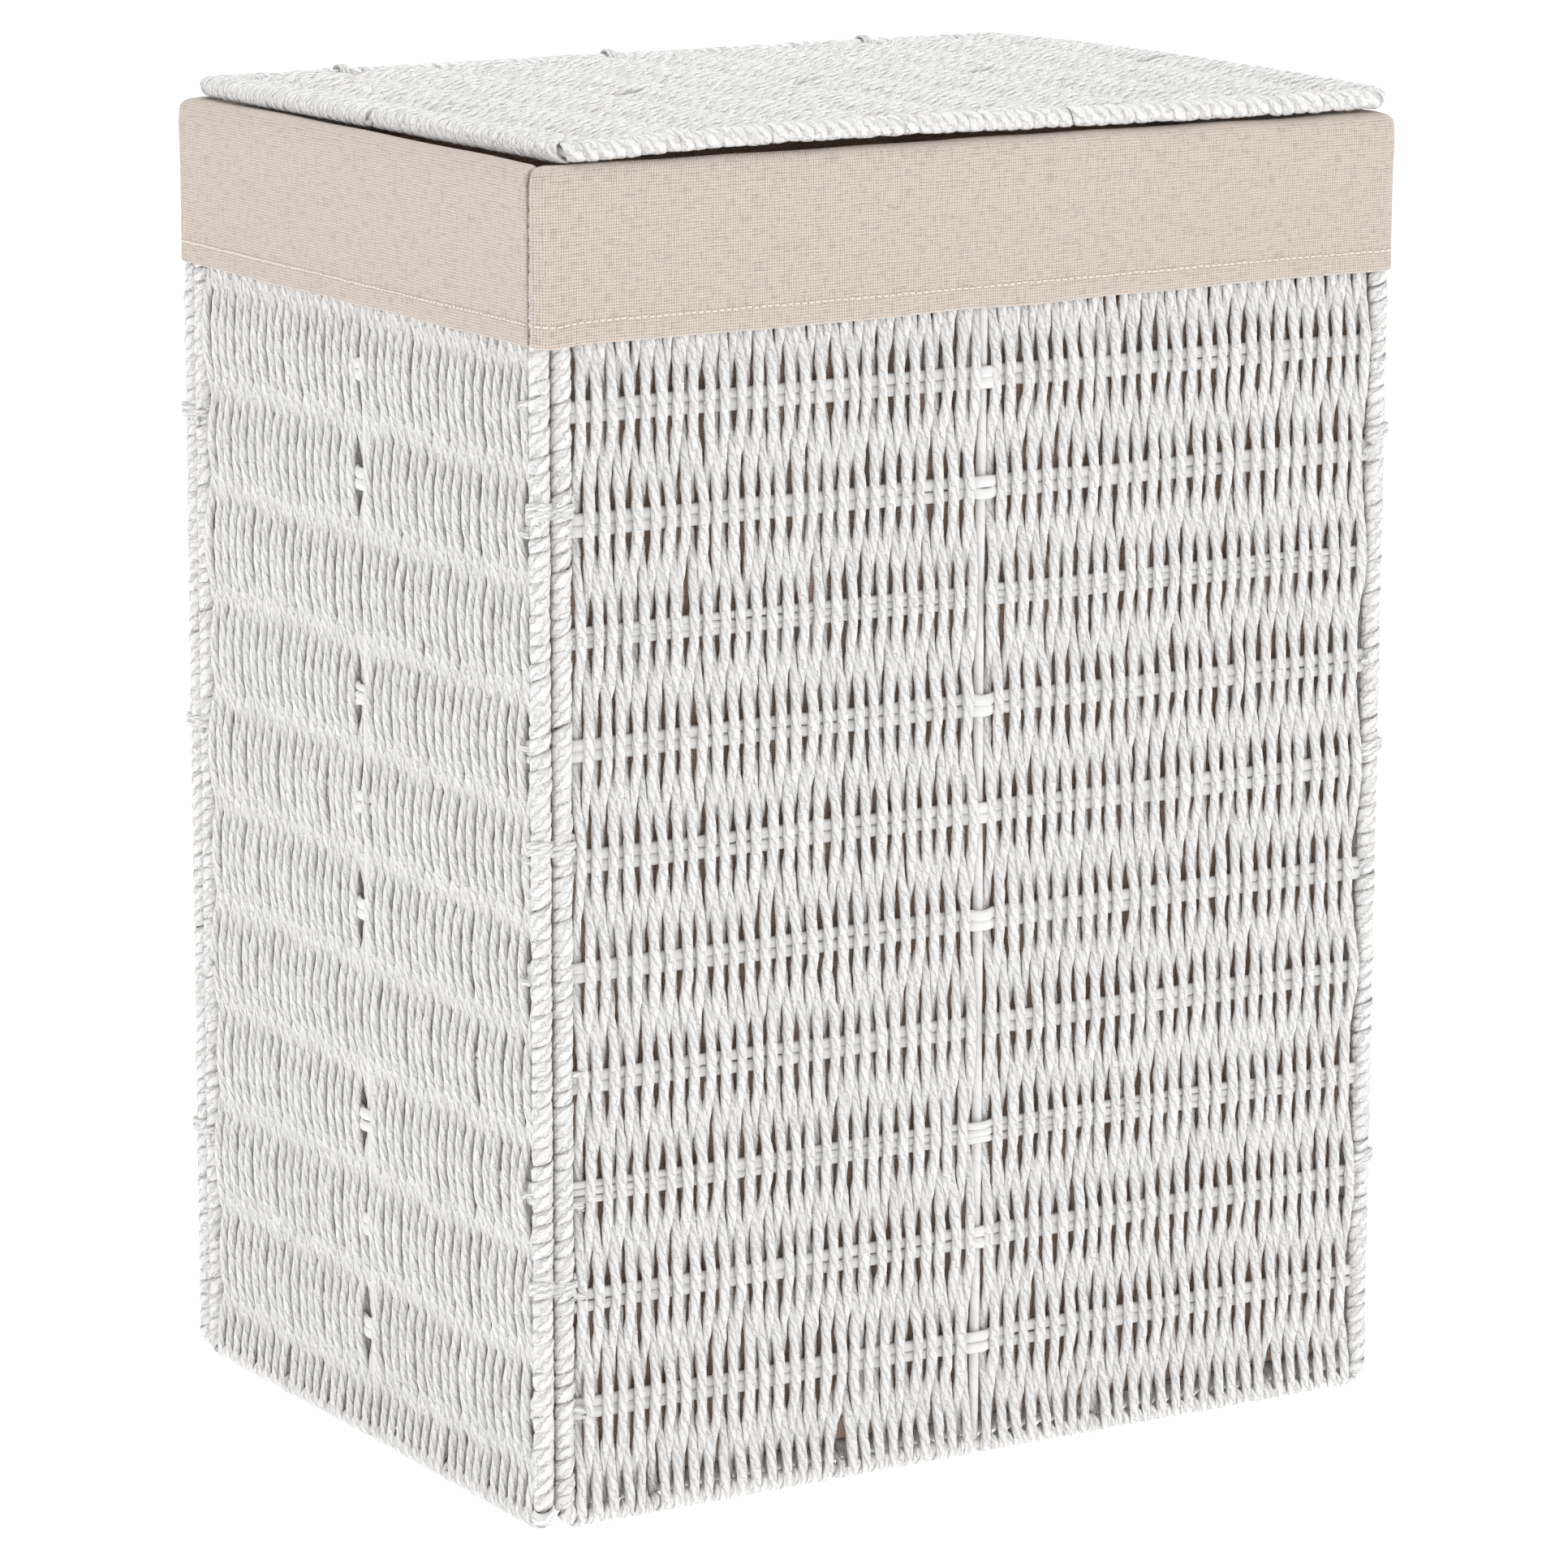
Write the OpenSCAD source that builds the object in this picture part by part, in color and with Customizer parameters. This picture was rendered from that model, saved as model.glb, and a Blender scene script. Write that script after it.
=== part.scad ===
// A woven laundry basket: five wire-framed panels of woven paper cord lashed into a
// box, a sixth as its lid on cord loops, and a sewn liner turned down over the rim.
// Millimetres. Z is up, the front is -Y, and the origin is the middle of the underside.

/* [Basket] */
// Width across the corner posts
basket_w = 400; // [340:10:480]
// Depth across the corner posts
basket_d = 300; // [260:10:380]
// Height of the rim, with the liner over it
basket_h = 535; // [420:5:620]

/* [Wire frames] */
// Diameter of the wire rods
rod_d = 4; // [3:0.2:4]
// Radius of the bends at a frame's corners, along the middle of the rod
bend_r = 6; // [5:0.5:6]

/* [Weave] */
// Thickness of a woven panel over its cords
weave_t = 8.4; // [7:0.2:8.4]
// Height of a stake, which is a few flat cords side by side
stake_h = 8.7; // [6:0.1:9]
// Thickness of a stake
stake_t = 2.4; // [1.6:0.1:2.6]
// Distance between neighbouring stakes, as near as a panel's length allows
stake_pitch = 44; // [40:1:50]
// Width of the gap in the weave along the centre stay
stay_gap = 6.4; // [5:0.2:8]

/* [Wraps and lashings] */
// Diameter of an edge rod with its wrapping
wrap_d = 8.6; // [8:0.2:8.6]
// Gap between the two posts at a corner
post_gap = 0.6; // [0.4:0.1:1]
// Thickness of the cord turns in a lashing
lash_t = 1.1; // [0.8:0.1:1.2]
// Length of rod that a lashing covers
lash_w = 4; // [3:0.5:4]
// The stakes, counted from the floor, that have a corner lashing just above them
lash_rows = [2, 6, 9, 11];
// Distances of the base's lashings from the middle of a long side
long_side_lashings = [60, 150]; // [55:1:155]
// Distance of the base's lashings from the middle of a short side
short_side_lashing = 70; // [40:1:100]

/* [Lid] */
// How far the lid's edge stays inside the corner posts
lid_inset = 4; // [3:0.5:6]
// Gap between the closed lid's edges and the liner on the rim
lid_gap = 1.4; // [1.4:0.1:3]
// Distance from the middle loop to each outer hinge loop
hinge_spread = 128; // [120:1:135]
// Running clearance of the hinge loops round the lid's back edge
hinge_clearance = 0.3; // [0.2:0.05:0.4]
// Thickness of the cord in a hinge loop
hinge_t = 1.2; // [1:0.1:1.3]

/* [Liner] */
// Thickness of the cloth
cloth_t = 0.8; // [0.6:0.1:1]
// Depth of the cuff, from the rim to its lower edge
cuff_depth = 67; // [50:1:90]
// Depth of the hem along the cuff's lower edge
hem_depth = 9; // [6:0.5:12]
// Radius of the liner's upright corners
liner_corner_r = 5; // [5:0.5:6]

/* [Colours] */
// Twisted paper cord
cord_colour = "whitesmoke"; // [whitesmoke, white, tan]
// Linen and cotton cloth
cloth_colour = "antiquewhite"; // [antiquewhite, linen, silver]
// Sewing thread
thread_colour = "ivory"; // [ivory, white, gray]
// Wire
wire_colour = "gainsboro"; // [gainsboro, silver, white]

/* [Hidden] */
$fn = 32;
slip = 0.1; // clearance between pieces of one panel
post_r = wrap_d / 2;
post_pitch = wrap_d + post_gap;
lash_room = 0.7; // left free beside a lashing or loop
edge = wrap_d + lash_t + lash_room; // from a panel's edge to its first weaving cord
rim_gap = 0.4; // between the walls and the liner over them
wall_h = basket_h - cloth_t - rim_gap;
front_w = basket_w - post_pitch;
side_w = basket_d - post_pitch;
stay_y = (stake_t + rod_d) / 2 + slip; // the stay lies inside the stakes
stay_inner = stay_y + rod_d / 2;
// The posts of neighbouring walls pass each other, so each wall sits off centre
wall_shift = post_pitch / 2;
front_y = basket_d / 2 - post_r;
side_x = basket_w / 2 - post_r;
base_gap = 0.2; // between the base and the walls' stays
base_l = 2 * (side_x - stay_inner - base_gap);
base_w = 2 * (front_y - stay_inner - base_gap);
base_z = wrap_d + base_gap; // middle of the base panel
base_top = base_z + stay_inner;
base_rod_y = base_w / 2 - post_r;
base_rod_x = base_l / 2 - post_r;
base_lash_in = rod_d / 2 + slip;
base_lash_out = post_r - 1.5 * slip;
foot_notch_h = wrap_d + 2.8; // over the lashings where they leave a wall's foot
notch_w = lash_w + 1;
lid_l = basket_w - 2 * lid_inset;
lid_w = basket_d - 2 * lid_inset;
lid_z = basket_h + lid_gap + post_r; // middle of the lid panel
hinge_y = lid_w / 2 - post_r;
rim_rod_z = wall_h - post_r;
hinge_in = post_r + hinge_clearance;
hinge_out = hinge_in + hinge_t;
hinge_notch_z = rim_rod_z - hinge_out - lash_room;
lid_notch = edge + 2.2; // keeps the lid's weave off the loops when the lid is open
hinge_xs = [-hinge_spread, 0, hinge_spread];
cuff_gap = lash_t + rim_gap; // from the posts to the cuff, over the lashings
cuff_w = basket_w + 2 * (cuff_gap + cloth_t);
cuff_d = basket_d + 2 * (cuff_gap + cloth_t);
cuff_z = basket_h - cuff_depth;
bag_gap = 0.6; // between the bag and the walls' stays
bag_w = 2 * (side_x - stay_inner - bag_gap);
bag_d = 2 * (front_y - stay_inner - bag_gap);
bag_z = base_top + bag_gap / 2;
hem_t = 0.6; // of the hem's turned-in cloth
thread_d = 0.5;
seam_offset = 7; // of the cuff's seams from the corners

// Heights of the stakes in a panel of length l, measured along its weaving cords
function stake_rows(l) =
    let (spans = round((l - wrap_d) / stake_pitch))
    [for (i = [1:spans - 1]) wrap_d / 2 + i * (l - wrap_d) / spans];

function both_sides(values) = concat(values, -values);
function both_sides_of(value) = [value, -value];

wall_stakes = stake_rows(wall_h);
long_lash = both_sides(long_side_lashings);
short_lash = both_sides_of(short_side_lashing);

// A panel stands on z = 0, centred on x = 0, with its outer face towards -Y.
// Its weaving cords are upright and its stakes lie level.

// Places a wall panel: turn 0 is the front, 1 the right, 2 the back and 3 the left
module wall(turn) {
    out = turn % 2 == 0 ? front_y : side_x;
    rotate([0, 0, 90 * turn]) translate([wall_shift, -out, 0]) children();
}

// Lays a panel flat at height z with its weaving cords along X
module flat_panel(l, z, face_up) {
    translate([-l / 2, 0, z])
        rotate([face_up ? -90 : 90, 0, 0])
            rotate([0, 90, 0])
                children();
}

// The wire round a panel: straight rods joined by quarter bends
module wire_loop(w, l) {
    reach = w / 2 - post_r - bend_r;
    low = post_r + bend_r;
    high = l - low;
    rotate([90, 0, 0]) {
        for (c = [[1, high, 0], [-1, high, 90], [-1, low, 180], [1, low, 270]])
            translate([c[0] * reach, c[1], 0])
                rotate([0, 0, c[2]])
                    rotate_extrude(angle = 90) translate([bend_r, 0]) circle(d = rod_d);
        for (side = [-1, 1])
            translate([side * (reach + bend_r), low, 0])
                rotate([-90, 0, 0]) cylinder(h = high - low, d = rod_d);
        for (y = [low - bend_r, high + bend_r])
            translate([-reach, y, 0]) rotate([0, 90, 0]) cylinder(h = 2 * reach, d = rod_d);
    }
}

// The rod welded down the middle of a panel
module centre_stay(l) {
    low = post_r + rod_d / 2;
    translate([0, stay_y, low]) cylinder(h = l - 2 * low, d = rod_d);
}

module stakes(w, l) {
    for (z = stake_rows(l))
        translate([0, 0, z]) cube([w - 2 * (wrap_d + slip), stake_t, stake_h], center = true);
}

// The weaving cords, as two slabs threaded by the stakes and turned round the end rods.
// Children are cut away where lashings and loops pass.
module weave(w, l) {
    half_w = w / 2 - edge - stay_gap / 2;
    difference() {
        for (side = [-1, 1])
            translate([side * (stay_gap + half_w) / 2, 0, l / 2])
                cube([half_w, weave_t, l], center = true);
        for (z = stake_rows(l))
            translate([0, 0, z])
                cube([w, stake_t + 2 * slip, stake_h + 2 * slip], center = true);
        for (z = [post_r, l - post_r])
            translate([-w / 2, 0, z])
                rotate([0, 90, 0]) cylinder(h = w, d = rod_d + slip);
        children();
    }
}

// The cord wound round an edge rod, as a sleeve; side is -1 for the panel's left edge
module edge_wrap(w, l, side) {
    low = post_r + bend_r;
    translate([side * (w / 2 - post_r), 0, low])
        difference() {
            cylinder(h = l - 2 * low, d = wrap_d);
            translate([0, 0, -1]) cylinder(h = l - 2 * low + 2, d = rod_d + slip);
        }
}

// A slot from one end of a panel, centred at x, for a cord that goes round the end rod
module end_notch(x, from, to) {
    translate([x - notch_w / 2, -weave_t, from]) cube([notch_w, 2 * weave_t, to - from]);
}

// Slots at the foot of a wall for the lashings of the base
module foot_notches(places) {
    for (x = places) end_notch(x - wall_shift, -1, foot_notch_h);
}

// An outline round two rods, the second at distance pitch along X
module round_both(pitch, r) {
    circle(r = r);
    translate([pitch, 0]) circle(r = r);
    translate([0, -r]) square([pitch, 2 * r]);
}

// Turns of cord that bind two rods standing along Z
module lashing(pitch, inner, outer) {
    linear_extrude(height = lash_w, center = true)
        difference() {
            round_both(pitch, outer);
            round_both(pitch, inner);
        }
}

// The lashings of one corner, at the left-hand post of a wall of width w
module corner_lashings(w) {
    above_stake = (stake_h + lash_w) / 2 + lash_room;
    for (row = lash_rows)
        translate([post_r - w / 2, 0, wall_stakes[row - 1] + above_stake])
            rotate([0, 0, 180]) lashing(post_pitch, post_r + slip, post_r + lash_t);
}

// The lashings between the foot of a wall at distance out and the base's rod at inner_rod
module foot_lashings(out, inner_rod, places) {
    run = out - inner_rod;
    rise = base_z - post_r;
    for (x = places)
        translate([x, -out, post_r])
            rotate([0, 0, 90]) rotate([90, 0, 0]) rotate([0, 0, atan2(rise, run)])
                lashing(norm([run, rise]), base_lash_in, base_lash_out);
}

// A loop of cord that holds the lid's back edge to the back wall's top rod
module hinge_loop(x) {
    run = front_y - hinge_y;
    rise = lid_z - rim_rod_z;
    color(cord_colour)
        translate([x, front_y, rim_rod_z])
            rotate([0, 0, 90]) rotate([90, 0, 0]) rotate([0, 0, atan2(rise, -run)])
                lashing(norm([run, rise]), hinge_in, hinge_out);
}

module rounded_plan(w, d, r) {
    square([w - 2 * r, d], center = true);
    square([w, d - 2 * r], center = true);
    for (x = [-1, 1], y = [-1, 1])
        translate([x * (w / 2 - r), y * (d / 2 - r)]) circle(r = r);
}

// An upright band of cloth, w by d outside and t thick
module band(w, d, h, t) {
    linear_extrude(height = h)
        difference() {
            rounded_plan(w, d, liner_corner_r + t);
            rounded_plan(w - 2 * t, d - 2 * t, liner_corner_r);
        }
}

// Slits at the back of the rim where the hinge loops pass through the cloth
module hinge_slits() {
    for (x = hinge_xs)
        translate([x - notch_w / 2, bag_d / 2 - hinge_out, hinge_notch_z])
            cube([notch_w, cuff_d / 2, basket_h]);
}

// Front wall
module front_frame() { color(wire_colour) wall(0) wire_loop(front_w, wall_h); }
module front_stay() { color(cord_colour) wall(0) centre_stay(wall_h); }
module front_stakes() { color(cord_colour) wall(0) stakes(front_w, wall_h); }
module front_weave() {
    color(cord_colour) wall(0) weave(front_w, wall_h) foot_notches(long_lash);
}
module front_left_wrap() { color(cord_colour) wall(0) edge_wrap(front_w, wall_h, -1); }
module front_right_wrap() { color(cord_colour) wall(0) edge_wrap(front_w, wall_h, 1); }

// Right wall
module right_frame() { color(wire_colour) wall(1) wire_loop(side_w, wall_h); }
module right_stay() { color(cord_colour) wall(1) centre_stay(wall_h); }
module right_stakes() { color(cord_colour) wall(1) stakes(side_w, wall_h); }
module right_weave() {
    color(cord_colour) wall(1) weave(side_w, wall_h) foot_notches(short_lash);
}
module right_front_wrap() { color(cord_colour) wall(1) edge_wrap(side_w, wall_h, -1); }
module right_back_wrap() { color(cord_colour) wall(1) edge_wrap(side_w, wall_h, 1); }

// Back wall, which also has the hinge loops round its top rod
module back_frame() { color(wire_colour) wall(2) wire_loop(front_w, wall_h); }
module back_stay() { color(cord_colour) wall(2) centre_stay(wall_h); }
module back_stakes() { color(cord_colour) wall(2) stakes(front_w, wall_h); }
module back_weave() {
    color(cord_colour) wall(2)
        weave(front_w, wall_h) {
            foot_notches(long_lash);
            for (x = hinge_xs) end_notch(-x - wall_shift, hinge_notch_z, wall_h + 1);
        }
}
module back_right_wrap() { color(cord_colour) wall(2) edge_wrap(front_w, wall_h, -1); }
module back_left_wrap() { color(cord_colour) wall(2) edge_wrap(front_w, wall_h, 1); }

// Left wall
module left_frame() { color(wire_colour) wall(3) wire_loop(side_w, wall_h); }
module left_stay() { color(cord_colour) wall(3) centre_stay(wall_h); }
module left_stakes() { color(cord_colour) wall(3) stakes(side_w, wall_h); }
module left_weave() {
    color(cord_colour) wall(3) weave(side_w, wall_h) foot_notches(short_lash);
}
module left_back_wrap() { color(cord_colour) wall(3) edge_wrap(side_w, wall_h, -1); }
module left_front_wrap() { color(cord_colour) wall(3) edge_wrap(side_w, wall_h, 1); }

// Base, between the walls, with gaps in its edges for the lashings
module base() { flat_panel(base_l, base_z, false) children(); }
module base_wrap(side) {
    color(cord_colour) base()
        difference() {
            edge_wrap(base_w, base_l, side);
            for (x = long_lash)
                translate([-base_w, -weave_t, base_l / 2 + x - notch_w / 2])
                    cube([2 * base_w, 2 * weave_t, notch_w]);
        }
}
module base_frame() { color(wire_colour) base() wire_loop(base_w, base_l); }
module base_stay() { color(cord_colour) base() centre_stay(base_l); }
module base_stakes() { color(cord_colour) base() stakes(base_w, base_l); }
module base_weave() {
    color(cord_colour) base()
        weave(base_w, base_l)
            for (y = short_lash) {
                end_notch(y, -1, edge);
                end_notch(y, base_l - edge, base_l + 1);
            }
}
module base_front_wrap() { base_wrap(-1); }
module base_back_wrap() { base_wrap(1); }

// Lid
module lid() { flat_panel(lid_l, lid_z, true) children(); }
module lid_frame() { color(wire_colour) lid() wire_loop(lid_w, lid_l); }
module lid_stay() { color(cord_colour) lid() centre_stay(lid_l); }
module lid_stakes() { color(cord_colour) lid() stakes(lid_w, lid_l); }
module lid_weave() {
    color(cord_colour) lid()
        weave(lid_w, lid_l)
            for (x = hinge_xs)
                translate([-lid_w / 2, -weave_t, lid_l / 2 + x - notch_w / 2])
                    cube([lid_notch, 2 * weave_t, notch_w]);
}
module lid_front_wrap() { color(cord_colour) lid() edge_wrap(lid_w, lid_l, 1); }
module lid_back_wrap() { color(cord_colour) lid() edge_wrap(lid_w, lid_l, -1); }

// Lashings of the four corners
module front_left_lashings() { color(cord_colour) wall(0) corner_lashings(front_w); }
module front_right_lashings() { color(cord_colour) wall(1) corner_lashings(side_w); }
module back_right_lashings() { color(cord_colour) wall(2) corner_lashings(front_w); }
module back_left_lashings() { color(cord_colour) wall(3) corner_lashings(side_w); }

// Lashings between the base and the four walls
module base_front_lashings() { color(cord_colour) foot_lashings(front_y, base_rod_y, long_lash); }
module base_right_lashings() {
    color(cord_colour) rotate([0, 0, 90]) foot_lashings(side_x, base_rod_x, short_lash);
}
module base_back_lashings() {
    color(cord_colour) rotate([0, 0, 180]) foot_lashings(front_y, base_rod_y, long_lash);
}
module base_left_lashings() {
    color(cord_colour) rotate([0, 0, 270]) foot_lashings(side_x, base_rod_x, short_lash);
}

// Loops that the lid turns in
module left_hinge_loop() { hinge_loop(-hinge_spread); }
module middle_hinge_loop() { hinge_loop(0); }
module right_hinge_loop() { hinge_loop(hinge_spread); }

// Liner: the bag's floor, its walls, and the cuff that turns down outside the rim
module liner_floor() {
    color(cloth_colour)
        translate([0, 0, bag_z])
            linear_extrude(height = cloth_t)
                rounded_plan(bag_w, bag_d, liner_corner_r + cloth_t);
}
module liner_walls() {
    top = basket_h - cloth_t;
    color(cloth_colour)
        difference() {
            translate([0, 0, bag_z + cloth_t]) band(bag_w, bag_d, top - bag_z - cloth_t, cloth_t);
            hinge_slits();
        }
}
module rim_cloth() {
    linear_extrude(height = cloth_t)
        difference() {
            rounded_plan(cuff_w, cuff_d, liner_corner_r + cloth_t);
            rounded_plan(bag_w - 2 * cloth_t, bag_d - 2 * cloth_t, liner_corner_r);
        }
}
module liner_cuff() {
    color(cloth_colour)
        difference() {
            union() {
                translate([0, 0, cuff_z]) band(cuff_w, cuff_d, cuff_depth, cloth_t);
                translate([0, 0, basket_h - cloth_t]) rim_cloth();
            }
            hinge_slits();
        }
}
module cuff_hem() {
    color(cloth_colour)
        translate([0, 0, cuff_z])
            band(cuff_w - 2 * cloth_t - slip, cuff_d - 2 * cloth_t - slip, hem_depth, hem_t);
}
module hem_thread() {
    color(thread_colour)
        translate([0, 0, cuff_z + hem_depth - thread_d])
            band(cuff_w + thread_d, cuff_d + thread_d, thread_d, thread_d / 2);
}
module seam_threads() {
    seam_h = cuff_depth - hem_depth - 2;
    color(thread_colour)
        for (side = [-1, 1], end = [-1, 1])
            translate([
                side * (cuff_w / 2 + thread_d / 4),
                end * (cuff_d / 2 - seam_offset),
                cuff_z + hem_depth + seam_h / 2
            ])
                cube([thread_d / 2, thread_d, seam_h], center = true);
}

front_frame();
front_stay();
front_stakes();
front_weave();
front_left_wrap();
front_right_wrap();
right_frame();
right_stay();
right_stakes();
right_weave();
right_front_wrap();
right_back_wrap();
back_frame();
back_stay();
back_stakes();
back_weave();
back_right_wrap();
back_left_wrap();
left_frame();
left_stay();
left_stakes();
left_weave();
left_back_wrap();
left_front_wrap();
base_frame();
base_stay();
base_stakes();
base_weave();
base_front_wrap();
base_back_wrap();
lid_frame();
lid_stay();
lid_stakes();
lid_weave();
lid_front_wrap();
lid_back_wrap();
front_left_lashings();
front_right_lashings();
back_right_lashings();
back_left_lashings();
base_front_lashings();
base_back_lashings();
base_left_lashings();
base_right_lashings();
left_hinge_loop();
middle_hinge_loop();
right_hinge_loop();
liner_floor();
liner_walls();
liner_cuff();
cuff_hem();
hem_thread();
seam_threads();
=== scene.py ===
"""A woven laundry basket: paper cord on wire frames, a lid on cord loops and a sewn linen liner.

Lengths inside the functions are millimetres, and put_mesh turns them into metres.
"""

import math

import bpy
import numpy as np
from bpy.props import FloatProperty, FloatVectorProperty, IntProperty, PointerProperty
from mathutils import Matrix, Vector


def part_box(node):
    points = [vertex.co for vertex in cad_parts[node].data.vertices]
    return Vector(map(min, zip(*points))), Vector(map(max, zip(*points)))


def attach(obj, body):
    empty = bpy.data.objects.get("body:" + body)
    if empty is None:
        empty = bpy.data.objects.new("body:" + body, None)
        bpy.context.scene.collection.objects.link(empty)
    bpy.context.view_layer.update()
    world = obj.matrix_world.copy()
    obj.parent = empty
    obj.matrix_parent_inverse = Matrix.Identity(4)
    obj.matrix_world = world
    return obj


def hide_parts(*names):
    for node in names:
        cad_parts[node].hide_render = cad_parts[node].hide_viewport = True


bl_info = {
    "name": "Woven laundry basket",
    "version": (1, 0, 0),
    "blender": (4, 5, 0),
    "location": "View3D > Sidebar > Basket",
    "description": "Weaves a lidded laundry basket of paper cord round its wire frames and sews its liner",
    "category": "Object",
}

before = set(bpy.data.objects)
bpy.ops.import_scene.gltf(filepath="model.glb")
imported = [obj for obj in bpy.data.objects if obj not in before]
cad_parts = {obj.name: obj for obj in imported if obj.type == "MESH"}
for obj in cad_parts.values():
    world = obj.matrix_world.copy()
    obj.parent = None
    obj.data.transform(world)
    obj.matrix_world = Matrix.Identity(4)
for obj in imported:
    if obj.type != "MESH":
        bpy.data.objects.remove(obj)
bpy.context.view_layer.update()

ROD = 4.0  # diameter of the frames' wire
BEND = 6.0  # radius of the frames' corners, along the middle of the wire
WALLS = ("front", "right", "back", "left")
FIRST_CORD = {"lid": 3.4, "base": 3.4, "left": 4.0, "right": 4.0}  # from a panel's middle, 4.5 on the others
LAST_CORD = 7.2  # from a side rod's middle to the nearest weaving cord's
END_SWING = 2.95  # from an end rod's middle to that of a cord that turns round it
# Where the base is tied to each wall, along x at the front and back and along y at the sides
BASE_TIES = {"front": (-150, -60, 60, 150), "right": (-70, 70), "back": (-150, -60, 60, 150), "left": (-70, 70)}
HINGE_LOOPS = ("left", "middle", "right")
CLOTH = 0.8  # thickness of the liner's cloth
CUFF_FACE = -1.3  # the cuff's outer face, from the middle of the CAD cuff's cloth
THREAD_OUT = 0.3  # from the middle of the cloth to the middle of a thread on it
HEM_STITCH = 8.9  # height of the row of stitches over the hem's fold
SEAM_PAST = 2.1  # from the end of a straight side round the corner to the seam


def linear(hex_colour):
    """An sRGB hex colour as linear red, green and blue: c / 12.92 below 0.04045, else ((c + 0.055) / 1.055) ^ 2.4."""
    c = np.array([int(hex_colour[i : i + 2], 16) for i in (1, 3, 5)]) / 255
    return tuple(float(x) for x in np.where(c <= 0.04045, c / 12.92, ((c + 0.055) / 1.055) ** 2.4))


# Sizes and colours


class BasketSizes(bpy.types.PropertyGroup):
    """Sizes of the cords and of the sewing."""

    cord_pitch: FloatProperty(
        name="Cord spacing", description="Distance between neighbouring weaving cords",
        default=0.00358, min=0.0025, max=0.006, unit="LENGTH", precision=5,
    )
    cord_width: FloatProperty(
        name="Cord width", description="Width of a weaving cord where it lies over a stake",
        default=0.0047, min=0.003, max=0.007, unit="LENGTH", precision=5,
    )
    cord_wave: FloatProperty(
        name="Cord wave", description="How far a cord's middle swings to each side of the stakes",
        default=0.00275, min=0.002, max=0.003, unit="LENGTH", precision=5,
    )
    wrap_pitch: FloatProperty(
        name="Wrap spacing", description="Length of post that one turn of the edge winding covers",
        default=0.006, min=0.004, max=0.008, unit="LENGTH", precision=5,
    )
    lid_lift: FloatProperty(
        name="Lid warp", description="How far the lid's front edge bows up off the liner",
        default=0.0026, min=0, max=0.004, unit="LENGTH", precision=5,
    )
    stitch: FloatProperty(
        name="Stitch length", description="Length of one stitch of the hem",
        default=0.0031, min=0.002, max=0.005, unit="LENGTH", precision=5,
    )
    rings: IntProperty(
        name="Rings per stake", description="Cross-sections of a weaving cord between neighbouring stakes",
        default=16, min=8, max=24,
    )


class BasketColours(bpy.types.PropertyGroup):
    """Colours of the basket's materials."""

    cord: FloatVectorProperty(
        name="Paper cord", description="Colour of the bleached paper cord",
        default=linear("#f1f0ef"), min=0, max=1, size=3, subtype="COLOR",
    )
    wire: FloatVectorProperty(
        name="Coated wire", description="Colour of the frames' plastic coating",
        default=linear("#e4e1da"), min=0, max=1, size=3, subtype="COLOR",
    )
    cloth: FloatVectorProperty(
        name="Linen cloth", description="Colour of the liner's cloth",
        default=linear("#dacdc3"), min=0, max=1, size=3, subtype="COLOR",
    )
    # Painted light and shade: the bag's cloth is lighter and warmer than the cuff's linen, so it shows lit brown where
    # it lies in shade between the cords
    lining: FloatVectorProperty(
        name="Bag cloth", description="Colour of the bag's cloth, lighter and warmer than the cuff's as painted light and shade",
        default=linear("#efd0b8"), min=0, max=1, size=3, subtype="COLOR",
    )
    thread: FloatVectorProperty(
        name="Sewing thread", description="Colour of the hem's stitches",
        default=linear("#f6f0e6"), min=0, max=1, size=3, subtype="COLOR",
    )


# Surfaces


def unit(vectors):
    """Each vector divided by its length."""
    return vectors / np.linalg.norm(vectors, axis=-1, keepdims=True)


def drift(rng, rows, knots, count):
    """Slow random curves: normal random values, no more than 2 either way, joined by steps 3f^2 - 2f^3."""
    values = rng.normal(size=(rows, knots + 1)).clip(-2, 2)
    x = np.linspace(0, knots, count)
    i = np.minimum(x.astype(int), knots - 1)
    f = x - i
    f = f * f * (3 - 2 * f)
    return values[:, i] * (1 - f) + values[:, i + 1] * f


def wander(rng, length, step, count):
    """One slow random curve along a length, with a new value about once in each step."""
    return drift(rng, 1, max(2, int(length / step)), count)


def bell(x, width):
    """exp(-(x / width)^2), a smooth hump of height 1."""
    return np.exp(-((x / width) ** 2))


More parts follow.
